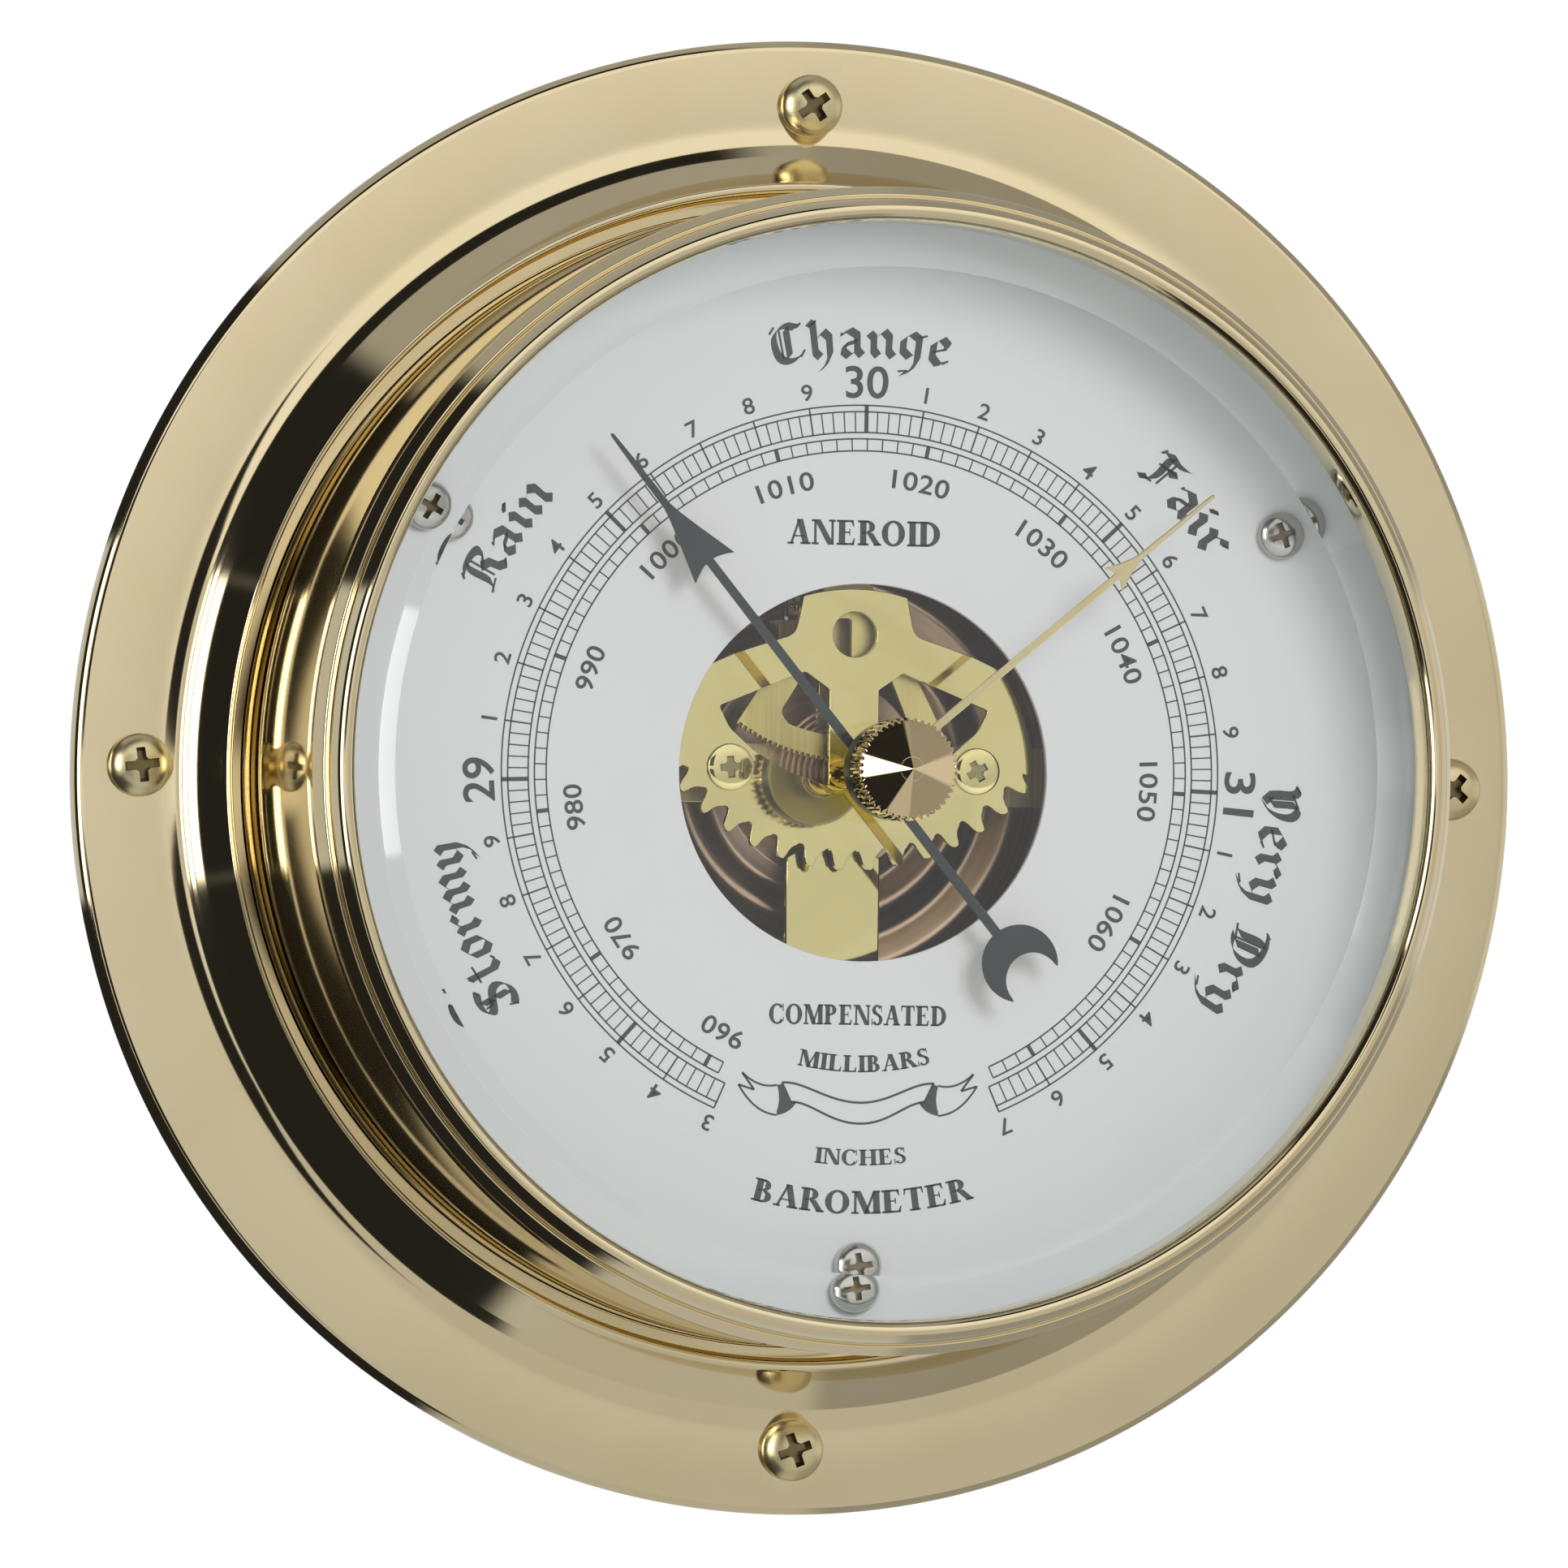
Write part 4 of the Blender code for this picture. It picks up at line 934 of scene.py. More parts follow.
def print_blackletter(text, centre, width):
    total = sum(BLACKLETTER[c][0] for c in text)
    stretch = width / X_HEIGHT / total
    warp = warp_top(BLACKLETTER_BASE, centre)
    nib_x, nib_y = math.cos(NIB_ANGLE) * NIB / 2, math.sin(NIB_ANGLE) * NIB / 2
    start = -total * stretch / 2

    def place(points):
        return [warp((start + x * stretch) * X_HEIGHT, y * X_HEIGHT) for x, y in points]

    for c in text:
        advance, strokes, hairlines = BLACKLETTER[c]
        for points in map(low_cap, strokes):
            print_ribbon(
                place([(x - nib_x, y - nib_y) for x, y in points]),
                place([(x + nib_x, y + nib_y) for x, y in points]),
            )
        for points in map(low_cap, hairlines):
            left, right = band_edges(points, HAIRLINE)
            print_ribbon(place(left), place(right))
        start += advance * stretch


# --- serif capitals: the cap height is 1
THICK, THIN, SERIF = 0.25, 0.095, 0.085


# A shape is one outline, or the two edges of a ribbon.
def poly(*points):
    return (points,)


def rect(x0, y0, x1, y1):
    return poly((x0, y0), (x1, y0), (x1, y1), (x0, y1))


def foot(x0, x1):
    return rect(x0, 0, x1, SERIF)


def head(x0, x1):
    return rect(x0, 1 - SERIF, x1, 1)


def upright(x, width):
    return rect(x, 0, x + width, 1)


def stem(x=0.12):
    ends = (x - 0.09, x + THICK + 0.09)
    return [upright(x, THICK), foot(*ends), head(*ends)]


def diagonal(x0, x1, width, top=1.0):
    return poly((x0, 0.0), (x0 + width, 0.0), (x1 + width, top), (x1, top))


def bowl(x, y, radius_x, radius_y, start, end, steps=14, thick=THICK):
    """An elliptical stroke, anticlockwise from +X, that swells at the sides."""
    left, right = [], []
    for k in range(steps + 1):
        a = math.radians(start + (end - start) * k / steps)
        width = THIN + (thick - THIN) * abs(math.cos(a)) ** 1.5
        cos, sin = math.cos(a), math.sin(a)
        left.append((x + radius_x * cos, y + radius_y * sin))
        inner_y = radius_y - min(width, radius_y * 0.9)
        right.append((x + (radius_x - width) * cos, y + inner_y * sin))
    return left, right


THIN_STEM = [upright(0.12, THIN), foot(0.02, 0.3), head(0.02, 0.26)]

# Each letter: (advance, shapes)
CAPITALS = {
    "I": (0.44, stem()),
    "L": (0.8, stem() + [
        foot(0.12, 0.72), poly((0.6, 0.0), (0.72, 0.0), (0.75, 0.3), (0.71, 0.3)),
    ]),
    "E": (0.84, stem() + [
        foot(0.12, 0.72), head(0.12, 0.7), rect(0.3, 0.48, 0.56, 0.54),
        poly((0.6, 0.0), (0.72, 0.0), (0.76, 0.28), (0.72, 0.28)),
        poly((0.58, 1.0), (0.7, 1.0), (0.72, 0.74), (0.68, 0.74)), rect(0.53, 0.38, 0.57, 0.64),
    ]),
    "T": (0.84, [
        upright(0.32, THICK), foot(0.22, 0.62), head(0.06, 0.78),
        poly((0.06, 1.0), (0.14, 1.0), (0.08, 0.72), (0.04, 0.72)),
        poly((0.7, 1.0), (0.78, 1.0), (0.8, 0.72), (0.76, 0.72)),
    ]),
    "M": (1.14, THIN_STEM + [
        diagonal(0.5, 0.12, THICK), diagonal(0.5, 0.86, THIN), upright(0.84, THICK),
        foot(0.75, 1.12), head(0.86, 1.12),
    ]),
    "N": (0.98, THIN_STEM + [
        diagonal(0.66, 0.12, THICK), upright(0.8, THIN), head(0.7, 0.96),
    ]),
    "B": (0.86, stem() + [
        bowl(0.4, 0.755, 0.27, 0.245, -90, 90), bowl(0.42, 0.275, 0.33, 0.275, -90, 90),
        head(0.2, 0.42), foot(0.2, 0.44), rect(0.2, 0.5, 0.42, 0.555),
    ]),
    "R": (0.94, stem() + [
        bowl(0.4, 0.74, 0.31, 0.26, -90, 90), head(0.2, 0.42), rect(0.2, 0.48, 0.42, 0.535),
        diagonal(0.7, 0.38, THICK, top=0.5), foot(0.66, 0.96),
    ]),
    "P": (0.84, stem() + [
        bowl(0.4, 0.73, 0.33, 0.27, -90, 90), head(0.2, 0.42), rect(0.2, 0.46, 0.42, 0.515),
    ]),
    "D": (0.98, stem() + [
        bowl(0.38, 0.5, 0.52, 0.5, -90, 90, 20), head(0.2, 0.4), foot(0.2, 0.4),
    ]),
    "A": (0.94, [
        diagonal(0.62, 0.36, THICK), diagonal(0.1, 0.42, THIN), rect(0.24, 0.3, 0.68, 0.36),
        foot(0.0, 0.26), foot(0.52, 0.92),
    ]),
    "O": (1.02, [bowl(0.5, 0.5, 0.46, 0.52, 0, 360, 36)]),
    "C": (0.94, [
        bowl(0.5, 0.5, 0.46, 0.52, 48, 318, 28), rect(0.8, 0.64, 0.85, 1.0),
        poly((0.8, 0.14), (0.86, 0.18), (0.88, 0.34), (0.84, 0.34)),
    ]),
    "S": (0.74, [
        bowl(0.37, 0.755, 0.28, 0.265, 30, 250, 18, THICK * 0.8),
        bowl(0.37, 0.27, 0.3, 0.285, -150, 80, 18, THICK * 0.8),
        poly((0.16, 0.64), (0.52, 0.34), (0.62, 0.44), (0.26, 0.72)),
        rect(0.58, 0.68, 0.63, 0.99), rect(0.06, 0.0, 0.11, 0.32),
    ]),
    "H": (1.02, stem() + stem(0.68) + [rect(0.3, 0.47, 0.7, 0.53)]),
}


def print_capitals(text, warp, cap, width):
    total = sum(CAPITALS[c][0] for c in text)
    stretch = width / cap / total
    start = -total * stretch / 2
    for c in text:
        advance, shapes = CAPITALS[c]
        for shape in shapes:
            lines = [[warp((start + u * stretch) * cap, v * cap) for u, v in s] for s in shape]
            if len(lines) == 1:
                print_poly(lines[0])
            else:
                print_ribbon(*lines)
        start += advance * stretch


def print_scroll():
    """An outlined ribbon with folded ends, below the lower title."""

    def line(points, width):
        print_ribbon(*band_edges(points, width))

    line(
        bezier((-9.2, -37.2), (-6.6, -36.9), (-3.6, -39.5), (0.4, -39.5), steps=16)
        + bezier((0.4, -39.5), (4.2, -39.5), (6.8, -36.9), (9.5, -37.1), steps=16)[1:],
        0.27,
    )
    line(
        bezier((-8.1, -39.5), (-5.6, -39.4), (-3.4, -42.0), (0.4, -42.0), steps=16)
        + bezier((0.4, -42.0), (4.0, -42.0), (6.0, -39.4), (8.4, -39.3), steps=16)[1:],
        0.27,
    )
    # left end, then right end: (side, shift in x, shift in z)
    for side, shift_x, shift_z in ((-1, 0.0, 0.0), (1, 0.2, 0.15)):

        def place(points):
            return [(side * x + shift_x, z + shift_z) for x, z in points]

        line(place([(9.2, -37.2), (8.1, -39.5)]), 0.26)
        fold = place(
            bezier((7.4, -39.5), (7.9, -40.5), (8.9, -41.0), (9.8, -41.1))
            + bezier((9.8, -40.6), (9.4, -39.6), (9.5, -38.4), (9.8, -37.5))
            + [(9.2, -37.4), (8.2, -39.5)]
        )
        print_poly(fold[::side])
        upper = bezier((9.8, -37.5), (11.4, -37.9), (12.9, -37.2), (14.1, -36.05), steps=10)
        lower = bezier((14.55, -37.5), (13.4, -39.4), (12.0, -40.9), (9.8, -41.1), steps=10)
        line(place(upper), 0.24)
        line(place([(14.1, -36.05), (12.6, -38.1)]), 0.26)
        line(place([(12.6, -38.1), (14.55, -37.5)]), 0.26)
        line(place(lower), 0.24)


print_scales()
print_all_figures()
# word, centre angle, width
for word, angle, width in (
    ("Change", -0.7, 21.6), ("Rain", -57.5, 14.2), ("Stormy", -112.0, 21.2),
    ("Fair", 50.5, 13.6), ("Very Dry", 107.0, 28.4),
):
    print_blackletter(word, angle, width)
print_capitals("MILLIBARS", warp_bottom(35.85, 178.6), cap=2.0, width=16.7)
print_capitals("INCHES", warp_bottom(47.0, 179.3), cap=1.9, width=11.6)
print_capitals("BAROMETER", warp_bottom(52.8, 179.1), cap=2.75, width=27.8)
print_capitals("ANEROID", lambda x, y: (x, 27.2 + y), cap=3.0, width=19.0)
print_capitals("COMPENSATED", lambda x, y: (x, -30.2 + y), cap=2.4, width=22.0)
print_scroll()

# the whole print sits slightly small and to the left on the dial
PRINT_SCALE_X, PRINT_SCALE_Z, PRINT_SHIFT_X = 0.997, 0.996, -0.25
for v in INK.verts:
    v.co.x = v.co.x * PRINT_SCALE_X + PRINT_SHIFT_X
    v.co.z *= PRINT_SCALE_Z
make("dial_print", INK, FINISH["ink"], body="housing")

# ------------------------------------------------------------------------------- movement
PLATE_BACK, PLATE_FRONT = heights_of("movement_plate")
PLATE_R = 22.0
HOOKS, HOOK_PITCH = 14, 7.4  # saw teeth along the lower edge, and degrees between them
HOOK_TIP_R = 28.6
HOOK_CENTRE_Z = 17.0
# One hooked tooth: gullet, steep flank, rounded crest, long sloped flank, as
# (degrees clockwise from its start, distance from the tip circle).
HOOK = [
    (0.0, -2.05), (-0.55, -2.35), (-1.25, -2.42), (-1.85, -2.25), (-2.35, -1.7),
    (-2.75, -0.95), (-3.25, -0.35), (-3.9, -0.08), (-4.6, 0.0), (-5.15, -0.12),
    (-5.5, -0.5), (-5.75, -1.05), (-6.3, -1.6), (-6.9, -1.9),
]
# The right-hand window: (x, z, corner radius)
WINDOW = [
    (3.0, 10.0, 0.4), (6.0, 12.1, 0.6), (16.5, 7.8, 0.35), (15.2, 5.2, 3.0),
    (12.3, 2.6, 3.0), (8.2, 0.2, 4.0), (3.0, -1.6, 0.3),
]


def build_front_plate():
    outline = []
    for k in range(HOOKS):
        start = 180.0 + HOOKS * HOOK_PITCH / 2 - k * HOOK_PITCH
        for turn, rise in HOOK:
            a = math.radians(start + turn)
            radius = HOOK_TIP_R + rise
            outline.append((radius * math.sin(a), HOOK_CENTRE_Z + radius * math.cos(a)))
    shoulder = bezier((14.6, 14.1), (10.8, 15.4), (8.2, 16.2), steps=4)
    shoulder += bezier((7.7, 16.5), (7.0, 17.0), (6.9, 18.2), (6.4, 20.9), steps=6)
    outline += [polar(PLATE_R, d) for d in (*range(0, 34, 3), 34.7)] + shoulder
    outline += [polar(PLATE_R, 90 + 3.3 * k) for k in range(-5, 6)]
    outline += mirrored(reversed(shoulder))
    outline += [polar(PLATE_R, d) for d in (145.3, *range(147, 181, 3))]
    window = rounded(WINDOW)
    screw_hole = centre_of("plate_screw_right")
    holes = [
        window, mirrored(window), circle(0, 16.6, 2.75, 48), circle(0, 0, 0.95, 24),
        circle(screw_hole.x, screw_hole.z, 1.2, 24), circle(-screw_hole.x, screw_hole.z, 1.2, 24),
    ]
    plate(
        "front_plate", outline, PLATE_BACK, PLATE_FRONT, FINISH["plate_brass"],
        "movement_plate", holes, bevel=0.16,
    )


build_front_plate()
# the plate screws' recesses take a darker brass: dirt plus painted shade in the cross
for side, turn in (("left", 5), ("right", 30)):
    screw(
        "plate_fixing_" + side, "plate_screw_" + side, FINISH["plate_brass"],
        seat=PLATE_FRONT + 0.02, end=21.6, head_radius=2.8, head_height=0.7, shank_radius=0.9,
        turn=turn, steps=64, dome=0.35, arm_ratio=0.5, arm_width=0.16,
        recess_dirt_and_shade_finish="plate_recess_dirt_and_shade",
    )

# The toothed sector hangs from its arbor and meets a 14-tooth wheel on the dial's axis.
ARBOR_Z = centre_of("sector_arbor").z
FULL_COUNT, WHEEL_COUNT = 210, 14
MODULE = ARBOR_Z * 2 / (FULL_COUNT + WHEEL_COUNT)
SECTOR_BACK, SECTOR_FRONT = 26.0, 27.0


def on_fan(radius, degrees, corner=0.0):
    """A point about the arbor, at an angle anticlockwise from straight down."""
    a = math.radians(degrees)
    return radius * math.sin(a), ARBOR_Z - radius * math.cos(a), corner


def build_sector():
    step = 2 * math.pi / FULL_COUNT
    addendum, dedendum = 0.70 * MODULE, 1.15 * MODULE
    tip, root = 0.09, 0.20  # half widths, in teeth
    flank = [
        (-root, -dedendum), (-root * 0.8, -dedendum * 0.2),
        (-tip, addendum * 0.9), (-tip * 0.5, addendum),
    ]
    tooth = flank + [(-turn, rise) for turn, rise in reversed(flank)]
    outline = []
    for k in range(-21, 18):
        for turn, rise in tooth:
            a = (k + 0.5) * step + turn * step
            radius = MODULE * FULL_COUNT / 2 + rise
            outline.append((radius * math.sin(a), ARBOR_Z - radius * math.cos(a)))
    outline += [on_fan(2.65, a)[:2] for a in range(55, 306, 10)]
    left = [(0.3, ARBOR_Z - 6.4, 0.4), (0.3, ARBOR_Z - 20.5, 0.5)]
    left += [on_fan(20.5, a) for a in range(-3, -23, -2)]
    left += [on_fan(19.6, -25.2, 1.1), on_fan(9.0, -17.2), on_fan(6.6, -12.0, 0.5)]
    right = [(3.2, ARBOR_Z - 10.8, 0.3), (4.0, ARBOR_Z - 10.6, 0.3), on_fan(20.1, 21.4, 0.5)]
    right += [on_fan(20.5, a) for a in range(19, 9, -2)] + [on_fan(20.5, 9.0, 0.3)]
    plate(
        "sector", outline, SECTOR_BACK, SECTOR_FRONT, FINISH["sector_brass"], "sector_gear",
        [rounded(left), rounded(right), circle(0, ARBOR_Z, 1.1, 32)], bevel=0.05,
    )
    pin = [(0, 24.1), (0.4, 24.1), (0.4, SECTOR_BACK - 0.02), (0, SECTOR_BACK - 0.02)]
    shape = lathe_shape(pin, 24, (0, ARBOR_Z - 5.0))
    make("sector_tail_pin", shape, FINISH["steel"], body=BODY["sector_gear"])


build_sector()

# Main spring: a strip that runs down the front, then bends back to a foot.
SPRING_THICKNESS = 0.9
BEND_Z, BEND_HEIGHT, BEND_OUTER_R = -28.0, 16.3, 4.0
BEND_INNER_R = BEND_OUTER_R - SPRING_THICKNESS
FOOT_Z, FOOT_FRONT = -37.0, 8.7
NARROW, WIDE = 2.4, 5.75  # half widths
WIDENING_Z, WIDENING_LENGTH = -8.0, 2.0
SPRING_STATIONS = [15.0, 5.0, 0.0, -4.0, -8.0, -8.7, -9.4, -10.0, -16.0, -22.0]


def spring_side(radius, foot_height):
    """One side of the strip as (z, height), where radius is its radius in the bend."""
    bend = [math.radians(6 * k) for k in range(16)]
    return (
        [(z, BEND_HEIGHT + radius) for z in SPRING_STATIONS]
        + [(BEND_Z - radius * math.sin(a), BEND_HEIGHT + radius * math.cos(a)) for a in bend]
        + [(BEND_Z - radius, foot_height), (FOOT_Z, foot_height)]
    )


def build_main_spring():
    shape = bmesh.new()
    outer = spring_side(BEND_OUTER_R, FOOT_FRONT)
    inner = spring_side(BEND_INNER_R, FOOT_FRONT - SPRING_THICKNESS)
    rows = []
    for (outer_z, outer_h), (inner_z, inner_h) in zip(outer, inner):
        widened = min(max((WIDENING_Z - outer_z) / WIDENING_LENGTH, 0.0), 1.0)
        half = NARROW + (WIDE - NARROW) * widened
        rows.append([
            vertex(shape, -half, outer_h, outer_z), vertex(shape, half, outer_h, outer_z),
            vertex(shape, half, inner_h, inner_z), vertex(shape, -half, inner_h, inner_z),
        ])
    skin(shape, rows)
    spring = make("leaf_spring", shape, FINISH["plate_brass"], "main_spring")
    soften(spring, 0.18, segments=3)


build_main_spring()

# Capsule halves: corrugated discs, as (radius, height, corner radius)
CAPSULE_TOP = [
    (3.5, 13.4, 0.1), (12.0, 13.4, 0.4), (14.2, 12.7, 1.2), (17.0, 14.0, 1.6),
    (20.2, 12.7, 1.6), (23.5, 14.0, 1.6), (26.6, 12.6, 0.8), (27.4, 11.4, 0.1),
    (28.0, 11.4, 0.1), (28.0, 12.0, 0.2), (26.9, 13.6, 0.8), (23.5, 14.8, 1.8),
    (20.2, 13.4, 1.6), (17.0, 14.8, 1.8), (14.2, 13.4, 1.2), (12.0, 14.2, 0.5),
    (3.5, 14.2, 0.15),
]
CAPSULE_BOTTOM = [
    (0, 6.3, 0), (2.0, 6.3, 0.1), (2.0, 8.0, 0.1), (12.0, 8.0, 0.6), (16.0, 8.6, 1.6),
    (20.0, 8.0, 1.6), (23.5, 8.6, 1.2), (28.0, 10.6, 0.1), (28.0, 11.1, 0.1),
    (23.3, 9.2, 1.2), (20.0, 8.6, 1.6), (16.0, 9.2, 1.6), (12.0, 8.6, 0.6), (0, 8.6, 0),
]
copper = FINISH["capsule_copper"]
lathe("capsule_top", rounded(CAPSULE_TOP, 6), copper, "capsule_upper", 144, sharp=40)
lathe("capsule_bottom", rounded(CAPSULE_BOTTOM, 5), copper, "capsule_lower", 120, sharp=40)


def build_hairspring():
    """A flat spiral ribbon."""
    steps_per_turn, inner, outer, half = 90, 2.2, 8.0, 0.13
    count = 8 * steps_per_turn
    back, front = 23.7, 25.1
    shape = bmesh.new()
    rows = []
    for k in range(count + 1):
        a = 2 * math.pi * k / steps_per_turn
        middle = inner + (outer - inner) * k / count
        section = ((-half, back), (half, back), (half, front), (-half, front))
        rows.append([
            vertex(shape, (middle + out) * math.sin(a), height, (middle + out) * math.cos(a))
            for out, height in section
        ])
    skin(shape, rows)
    make("balance_spring", shape, FINISH["hairspring_copper"], "hairspring", sharp=40)


build_hairspring()

# ---------------------------------------------------------------------------------- hands
# Half outlines list (distance along the hand, distance to its side).
POINTER_ANGLE, SET_ANGLE = -39.3, 50.0
POINTER_TIP = [
    (51.2, 0.0), (50.9, 0.2), (46.0, 0.36), (40.3, 0.44), (38.6, 0.78), (36.0, 1.50),
    (33.4, 2.28), (30.9, 3.0), (31.4, 2.05), (31.75, 1.2), (31.9, 0.52), (2.5, 0.58),
    (2.0, 1.25), (1.2, 1.9), (0.0, 2.25), (-1.2, 1.9), (-2.0, 1.25), (-2.5, 0.58),
]
SET_HAND = [
    (52.6, 0.0), (52.3, 0.22), (40.7, 0.36), (39.6, 0.58), (38.0, 1.1), (36.4, 1.75),
    (36.9, 0.95), (37.1, 0.44), (3.0, 0.5), (2.6, 1.2), (1.8, 2.1), (0.0, 2.75),
    (-1.8, 2.1), (-2.6, 1.0), (-2.8, 0.0),
]
# The crescent on the pointer's tail is a disc with a smaller disc bitten out.
MOON_U, MOON_R = -29.1, 4.65
BITE_U, BITE_R = -31.7, 3.35


def hand_outline(angle, half):
    """Both sides of a hand, turned clockwise from the top."""
    sin, cos = math.sin(math.radians(angle)), math.cos(math.radians(angle))
    points = half + [(u, -v) for u, v in reversed(half) if v > 0]
    return [(u * sin + v * cos, u * cos - v * sin) for u, v in points]


def pointer_half():
    gap = MOON_U - BITE_U
    horn = math.acos((gap**2 + MOON_R**2 - BITE_R**2) / (2 * gap * MOON_R)) + 0.05
    half = POINTER_TIP + [(MOON_U + MOON_R - 0.06, 0.58)]
    for k in range(25):
        a = 0.14 + (math.pi - horn - 0.14) * k / 24
        half.append((MOON_U + MOON_R * math.cos(a), MOON_R * math.sin(a)))
    horn_angle = math.atan2(half[-1][1], half[-1][0] - BITE_U)
    for k in range(1, 19):
        a = (horn_angle - 0.05) * (1 - k / 18)
        half.append((BITE_U + BITE_R * math.cos(a), BITE_R * math.sin(a)))
    return half


pointer = plate(
    "pointer", hand_outline(POINTER_ANGLE, pointer_half()), 39.6, 40.0, FINISH["black_paint"],
    "pressure_hand", [circle(0, 0, 0.9, 32)], bevel=0.06,
)
second_finish(pointer, FINISH["set_hand_brass"], faces_back)
HUB_PROFILE = [(0.9, 37.4, 0.1), (1.9, 37.4, 0.2), (1.9, 39.3, 0.2), (0.9, 39.3, 0.1)]
lathe("pointer_hub", rounded(HUB_PROFILE, 3), FINISH["knob_brass"], "hand_collet", 48)
plate(
    "reference_hand", hand_outline(SET_ANGLE, SET_HAND), 45.1, 45.6, FINISH["set_hand_brass"],
    "set_hand", [circle(0, 0, 1.5, 32)], bevel=0.1,
)
SPINDLE_PROFILE = [
    (0, 43.8, 0), (2.3, 43.8, 0.2), (2.3, 44.7, 0.15), (1.2, 44.7, 0.05), (1.2, 60.0, 0.1),
    (0, 60.0, 0),
]
lathe("spindle", rounded(SPINDLE_PROFILE, 3), FINISH["knob_brass"], "set_spindle", 48)
WASHER_PROFILE = [(1.5, 50.8, 0.1), (5.9, 50.8, 0.5), (5.9, 54.6, 0.35), (1.5, 54.6, 0.1)]
washer = lathe("washer", rounded(WASHER_PROFILE, 5), FINISH["black_washer"], "knob_washer", 96)
# The black washer's underside takes pale brass only so that its reflection in the front plate reads
# olive rather than black: a painted reflection tone
washer_underside_painted_reflection = polished(
    "washer_underside_painted_reflection", (0.97, 0.93, 0.72), deep=(0.92, 0.87, 0.62), rough=0.42, wear=0.6
)
second_finish(washer, washer_underside_painted_reflection, faces_back)

KNOB_R = 6.1
KNOB_RIDGES = 44
CONE_TOP, CONE_SLOPE = 62.4, 0.4509
KNOB_PROFILE = [
    (1.5, 54.9, 0.1), (5.6, 54.9, 0.1), (KNOB_R, 55.3, 0.15), (KNOB_R, 59.5, 0.05),
    (5.85, 59.76, 0.0), (5.72, 59.821, 0.0), (0.15, 62.332, 0.0), (0, CONE_TOP, 0),
    (0, 60.3, 0), (1.5, 60.3, 0.1),
]
RIDGE = (1.0, 1.0, 0.975, 0.945, 0.945, 0.945, 0.975, 1.0)  # radius factors round one ridge


def knurl(k, radius, height):
    return RIDGE[k % len(RIDGE)] if radius > 5.65 and height > 54.95 else 1.0


knob = lathe(
    "knob", rounded(KNOB_PROFILE, 3), FINISH["knob_brass"], "set_knob",
    KNOB_RIDGES * len(RIDGE), sharp=24, radius_at=knurl,
)
# the scalloped rim is laid on the cone, so that the cone stays a true one
for v in knob.data.vertices:
    radius, height = math.hypot(v.co.x, v.co.z) / MM, -v.co.y / MM
    if height > 59.7 and 0.3 < radius < 5.9:
        v.co.y = -(CONE_TOP - CONE_SLOPE * radius) * MM
knob.data.update()

# ------------------------------------------------------------------------------ back plate
back_holes = [
    hole_at(f"{node}_{k}", radius)
    for k in (1, 2, 3)
    for node, radius in (("dial_pillar", 1.5), ("back_screw", 2.1), ("movement_screw", 1.6))
]
back_holes.append(hole_at("adjuster_screw", 3.0, 32))
plate(
    "rear_cover", circle(0, 0, 67.5, 200), 0.0, 1.6, FINISH["brushed_brass"], "back_plate",
    back_holes, bevel=0.15,
)

# -------------------------------------------------------------- CAD nodes that stay in view
for name, obj in NODES.items():
    if obj.hide_render:
        continue
    material = FINISH[SLOT[name]]
    if len(obj.material_slots) == 0:
        obj.data.materials.append(material)
    for material_slot in obj.material_slots:
        material_slot.material = material
    weld = obj.modifiers.new("weld", "WELD")
    weld.merge_threshold = 0.000001
    soften(obj, 0.08)

# ----------------------------------------------------------------------------------- stage
FLOOR_HALF, FLOOR_Z = 1.6, -0.30  # metres


def build_floor():
    shape = bmesh.new()
    bmesh.ops.create_grid(shape, x_segments=12, y_segments=12, size=FLOOR_HALF)
    for v in shape.verts:
        v.co.z = FLOOR_Z
    mesh = bpy.data.meshes.new("floor")
    shape.to_mesh(mesh)
    shape.free()
    floor = add_object("floor", mesh)
    mesh.materials.append(painted(
        "floor_pale", (0.86, 0.86, 0.85), rough=0.6, grain=60.0, strength=0.02, vary=0.01
    ))
    floor.visible_glossy = False


build_floor()

# ---------------------------------------------------------------------------------- camera
YAW, PITCH, ROLL = (math.radians(a) for a in (13.0, -0.96, -0.84))
CAMERA_DISTANCE = 1761.0
CAMERA_SHIFT_X, CAMERA_SHIFT_Y = -1.2900665, -0.7641163  # across and up the view
VIEW_WIDTH = 191.72373  # what the frame takes in at the camera's distance
SENSOR_WIDTH = 36.0


def to_world(v):
    """From (right, up, towards the viewer) to world axes."""
    return Vector((v.x, -v.z, v.y))


turned = (
    Matrix.Rotation(PITCH, 3, "X") @ Matrix.Rotation(YAW, 3, "Y") @ Matrix.Rotation(ROLL, 3, "Z")
)
view_right, view_up, view_back = (to_world(Vector(turned[i])) for i in range(3))
spot = turned.transposed() @ Vector((CAMERA_SHIFT_X, CAMERA_SHIFT_Y, CAMERA_DISTANCE))
camera_data = bpy.data.cameras.new("camera")
camera = add_object("camera", camera_data)
facing = Matrix((view_right, view_up, view_back)).transposed().to_4x4()
camera.matrix_world = Matrix.Translation(to_world(spot) * MM) @ facing
camera_data.sensor_width = SENSOR_WIDTH
camera_data.lens = SENSOR_WIDTH * CAMERA_DISTANCE / VIEW_WIDTH
camera_data.clip_start, camera_data.clip_end = 0.05, 50.0
bpy.context.scene.camera = camera

# ----------------------------------------------------------------------------------- light
world = bpy.data.worlds.new("studio")
bpy.context.scene.world = world
world.use_nodes = True
sky = Nodes(world.node_tree)


def band(value, lo, hi, soft):
    """1 between lo and hi, with edges this soft."""
    rise = sky.step(value, lo - soft / 2, lo + soft / 2)
    return sky.times(rise, sky.step(value, hi - soft / 2, hi + soft / 2, start=1.0, end=0.0))


def over(below, mask, level):
    """Lays a card of this level over what is below."""
    keep = sky.times(below, sky.math("SUBTRACT", 1.0, mask))
    return sky.plus(keep, sky.times(mask, level))


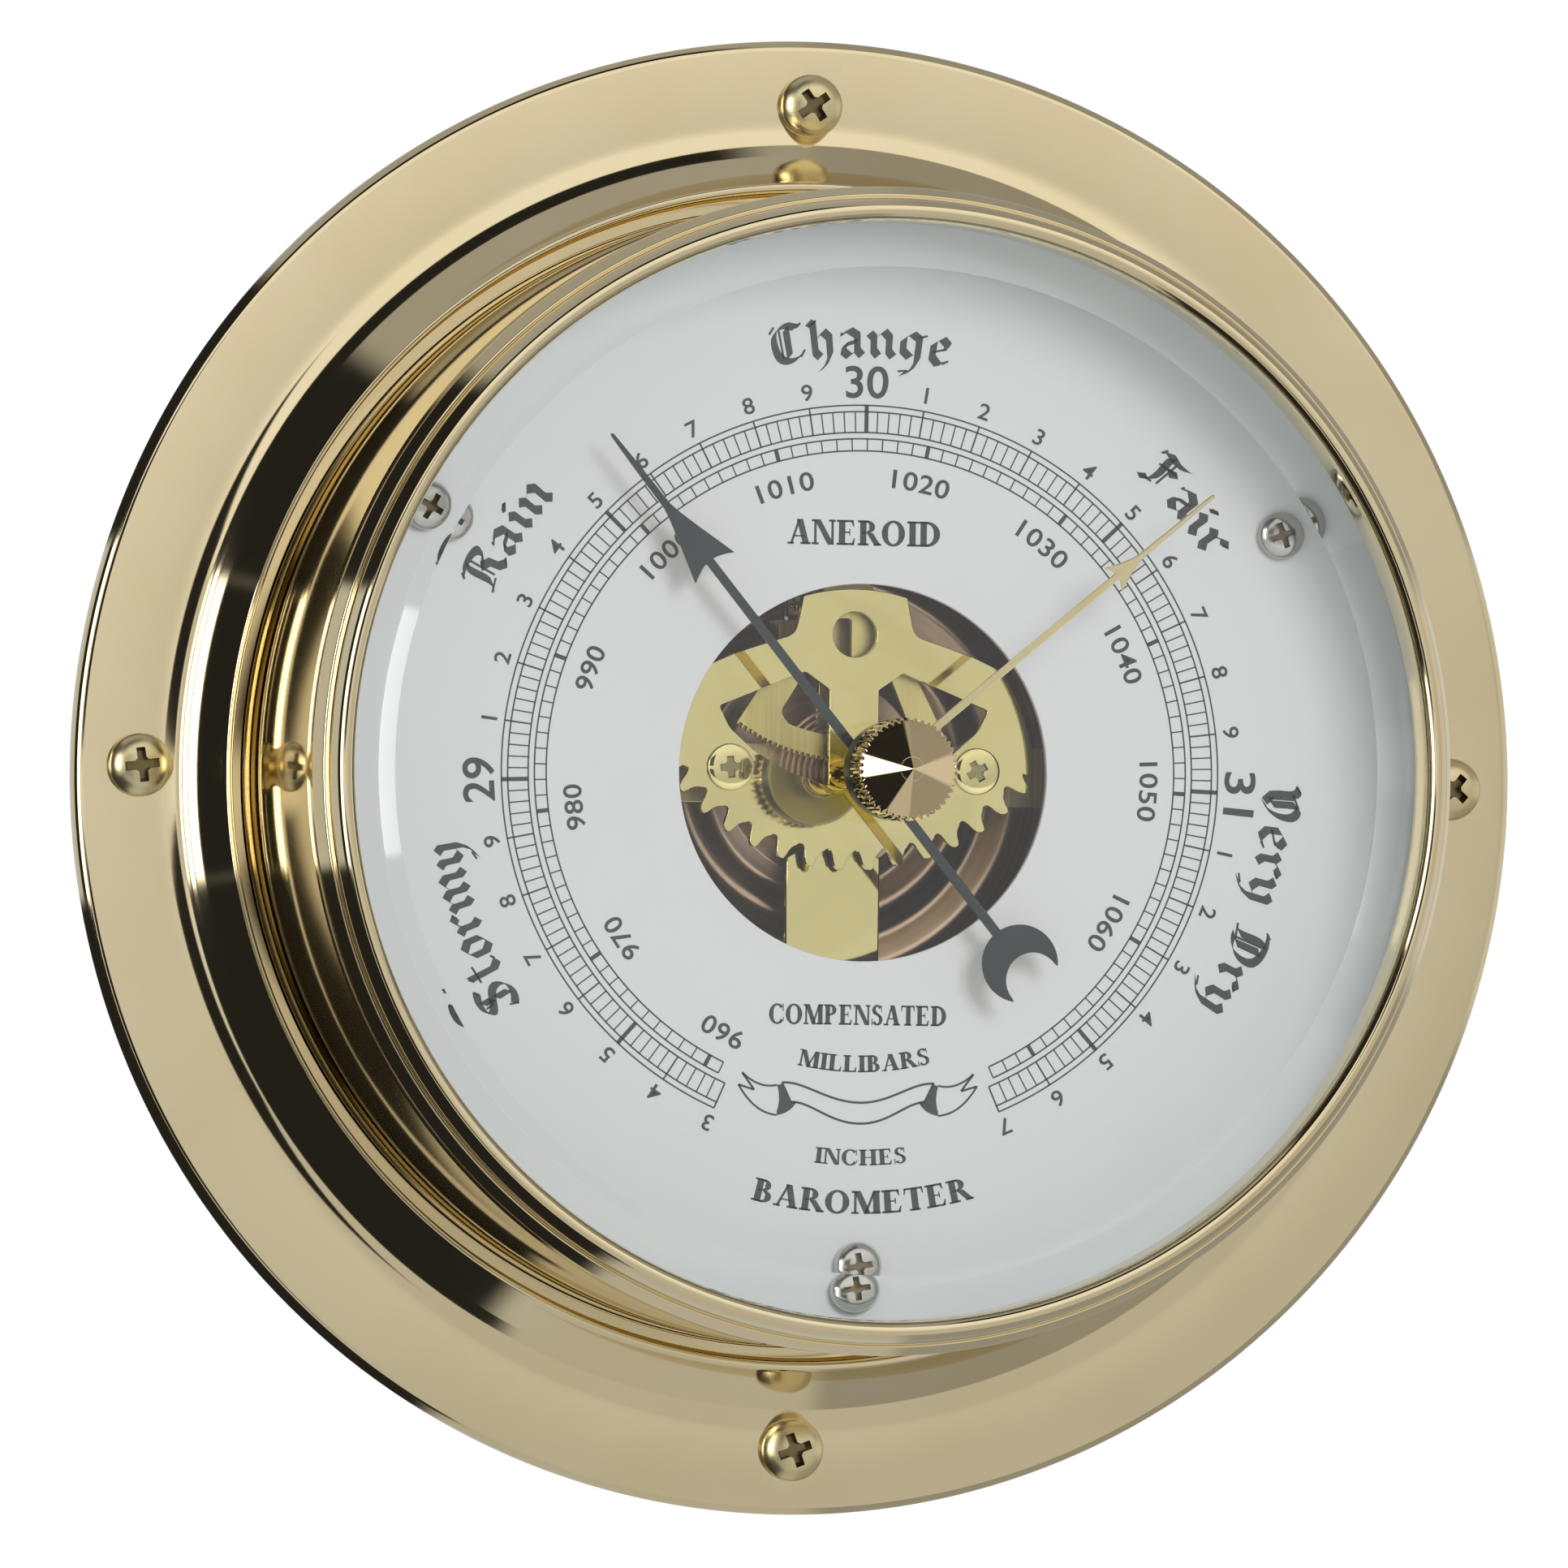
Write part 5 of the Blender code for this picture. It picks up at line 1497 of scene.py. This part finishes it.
def in_degrees(operation, *values):
    return sky.times(sky.math(operation, *values), 180 / math.pi)


def front_card(azimuth, elevation):
    """The broad card in front: brighter upwards, dimmer to the right."""
    across = sky.times(sky.math("SUBTRACT", 13.0, azimuth), 0.012)
    slope = sky.plus(across, sky.times(elevation, 0.028))
    least = sky.math("MAXIMUM", sky.plus(slope, 1.0), 0.86)
    return sky.times(sky.math("MINIMUM", least, 1.50), 0.685)


def side_cards(tilt, turn):
    """What steep surfaces mirror, by the way they face."""
    away = sky.math("ABSOLUTE", turn)
    light = over(sky.plus(0.0, 0.42), sky.step(away, lo=88, hi=92), level=0.35)
    light = over(light, sky.step(away, lo=156, hi=164), level=0.70)
    light = over(light, band(turn, lo=-92, hi=-61, soft=3), level=0.55)
    for lo, hi, soft in ((17, 84, 6), (-62, -10, 3)):
        steep = band(tilt, lo=22.8, hi=34.5, soft=0.8)
        light = over(light, sky.times(steep, band(turn, lo, hi, soft)), level=0.02)
    for lo, hi, soft in ((17, 42, 4), (-60, -10, 3)):
        light = over(light, band(turn, lo, hi, soft), level=0.02)
    return light


def strip_lights(tilt):
    """The bright strips that steep surfaces facing left mirror."""
    light = over(sky.plus(0.0, 0.65), band(tilt, lo=23.3, hi=25.5, soft=0.4), level=2.6)
    light = over(light, band(tilt, lo=27.2, hi=30.6, soft=0.6), level=9.0)
    # where each card starts, where it is full, and its level
    for lo, hi, level in ((31.5, 32.5, 2.6), (39, 40.5, 0.02), (58, 62, 0.60)):
        light = over(light, sky.step(tilt, lo, hi), level)
    return light


def build_sky():
    output = sky.node("ShaderNodeOutputWorld")
    background = sky.node("ShaderNodeBackground")
    sky.link(background.outputs[0], output.inputs[0])
    direction = sky.node("ShaderNodeTexCoord").outputs["Generated"]
    x, y, z = sky.node("ShaderNodeSeparateXYZ", {0: direction}).outputs
    azimuth = in_degrees("ARCTAN2", x, sky.times(y, -1.0))
    elevation = in_degrees("ARCSINE", z)
    # The half vector between this direction and the lens is the normal of a surface that would
    # mirror it. Tilt is its angle from straight ahead; turn runs from the left, upwards.
    total = sky.node("ShaderNodeVectorMath", {0: direction, 1: view_back}, operation="ADD")
    unit = sky.node("ShaderNodeVectorMath", {0: total.outputs[0]}, operation="NORMALIZE")
    half_x, half_y, half_z = sky.node("ShaderNodeSeparateXYZ", {0: unit.outputs[0]}).outputs
    tilt = in_degrees("ARCCOSINE", sky.times(half_y, -1.0))
    turn = in_degrees("ARCTAN2", half_z, sky.times(half_x, -1.0))

    front = front_card(azimuth, elevation)
    light = over(front, sky.step(tilt, lo=22.3, hi=23.4), side_cards(tilt, turn))
    facing_left = band(turn, lo=-10.5, hi=17.5, soft=1.5)
    strip_mask = sky.times(facing_left, sky.step(tilt, lo=18, hi=21))
    light = over(light, strip_mask, strip_lights(tilt))
    # a dark card to the front left, with a gap along the horizon
    dark_card = sky.times(
        band(azimuth, lo=-24, hi=-3, soft=3), band(elevation, lo=-20, hi=15, soft=2)
    )
    off_horizon = sky.step(sky.math("ABSOLUTE", elevation), lo=1.2, hi=2.4)
    light = over(light, sky.times(dark_card, off_horizon), level=0.02)

    warm = sky.mix(sky.step(tilt, lo=20, hi=40), (1.0, 0.99, 0.975), (1, 1, 1))
    tint = sky.node("ShaderNodeVectorMath", {0: warm, "Scale": light}, operation="SCALE")
    path = sky.node("ShaderNodeLightPath").outputs
    colour = sky.mix(path["Is Diffuse Ray"], tint.outputs[0], (0.70, 0.70, 0.70))
    colour = sky.mix(path["Is Camera Ray"], colour, (1.0, 1.0, 1.0))
    sky.fill(background, {"Color": colour, "Strength": 1.0})


build_sky()
world.cycles.sampling_method = "NONE"


def build_fill_light():
    """A square soft light in front and above, unseen in reflections."""
    place, target = Vector((0.35, -1.3, 0.5)), Vector((0, -0.03, 0))
    data = bpy.data.lights.new("fill", "AREA")
    data.shape = "RECTANGLE"
    data.size = data.size_y = 0.5
    data.energy = 9.0
    data.color = (1, 1, 1)
    light = bpy.data.objects.new("fill", data)
    light.location = place
    light.rotation_euler = (target - place).to_track_quat("-Z", "Y").to_euler()
    light.visible_glossy = False
    light.visible_transmission = False
    light.visible_camera = False
    bpy.context.scene.collection.objects.link(light)


build_fill_light()

view = bpy.context.scene.view_settings
view.view_transform = "Standard"
view.look = "None"
view.exposure = 0.0
view.gamma = 1.0
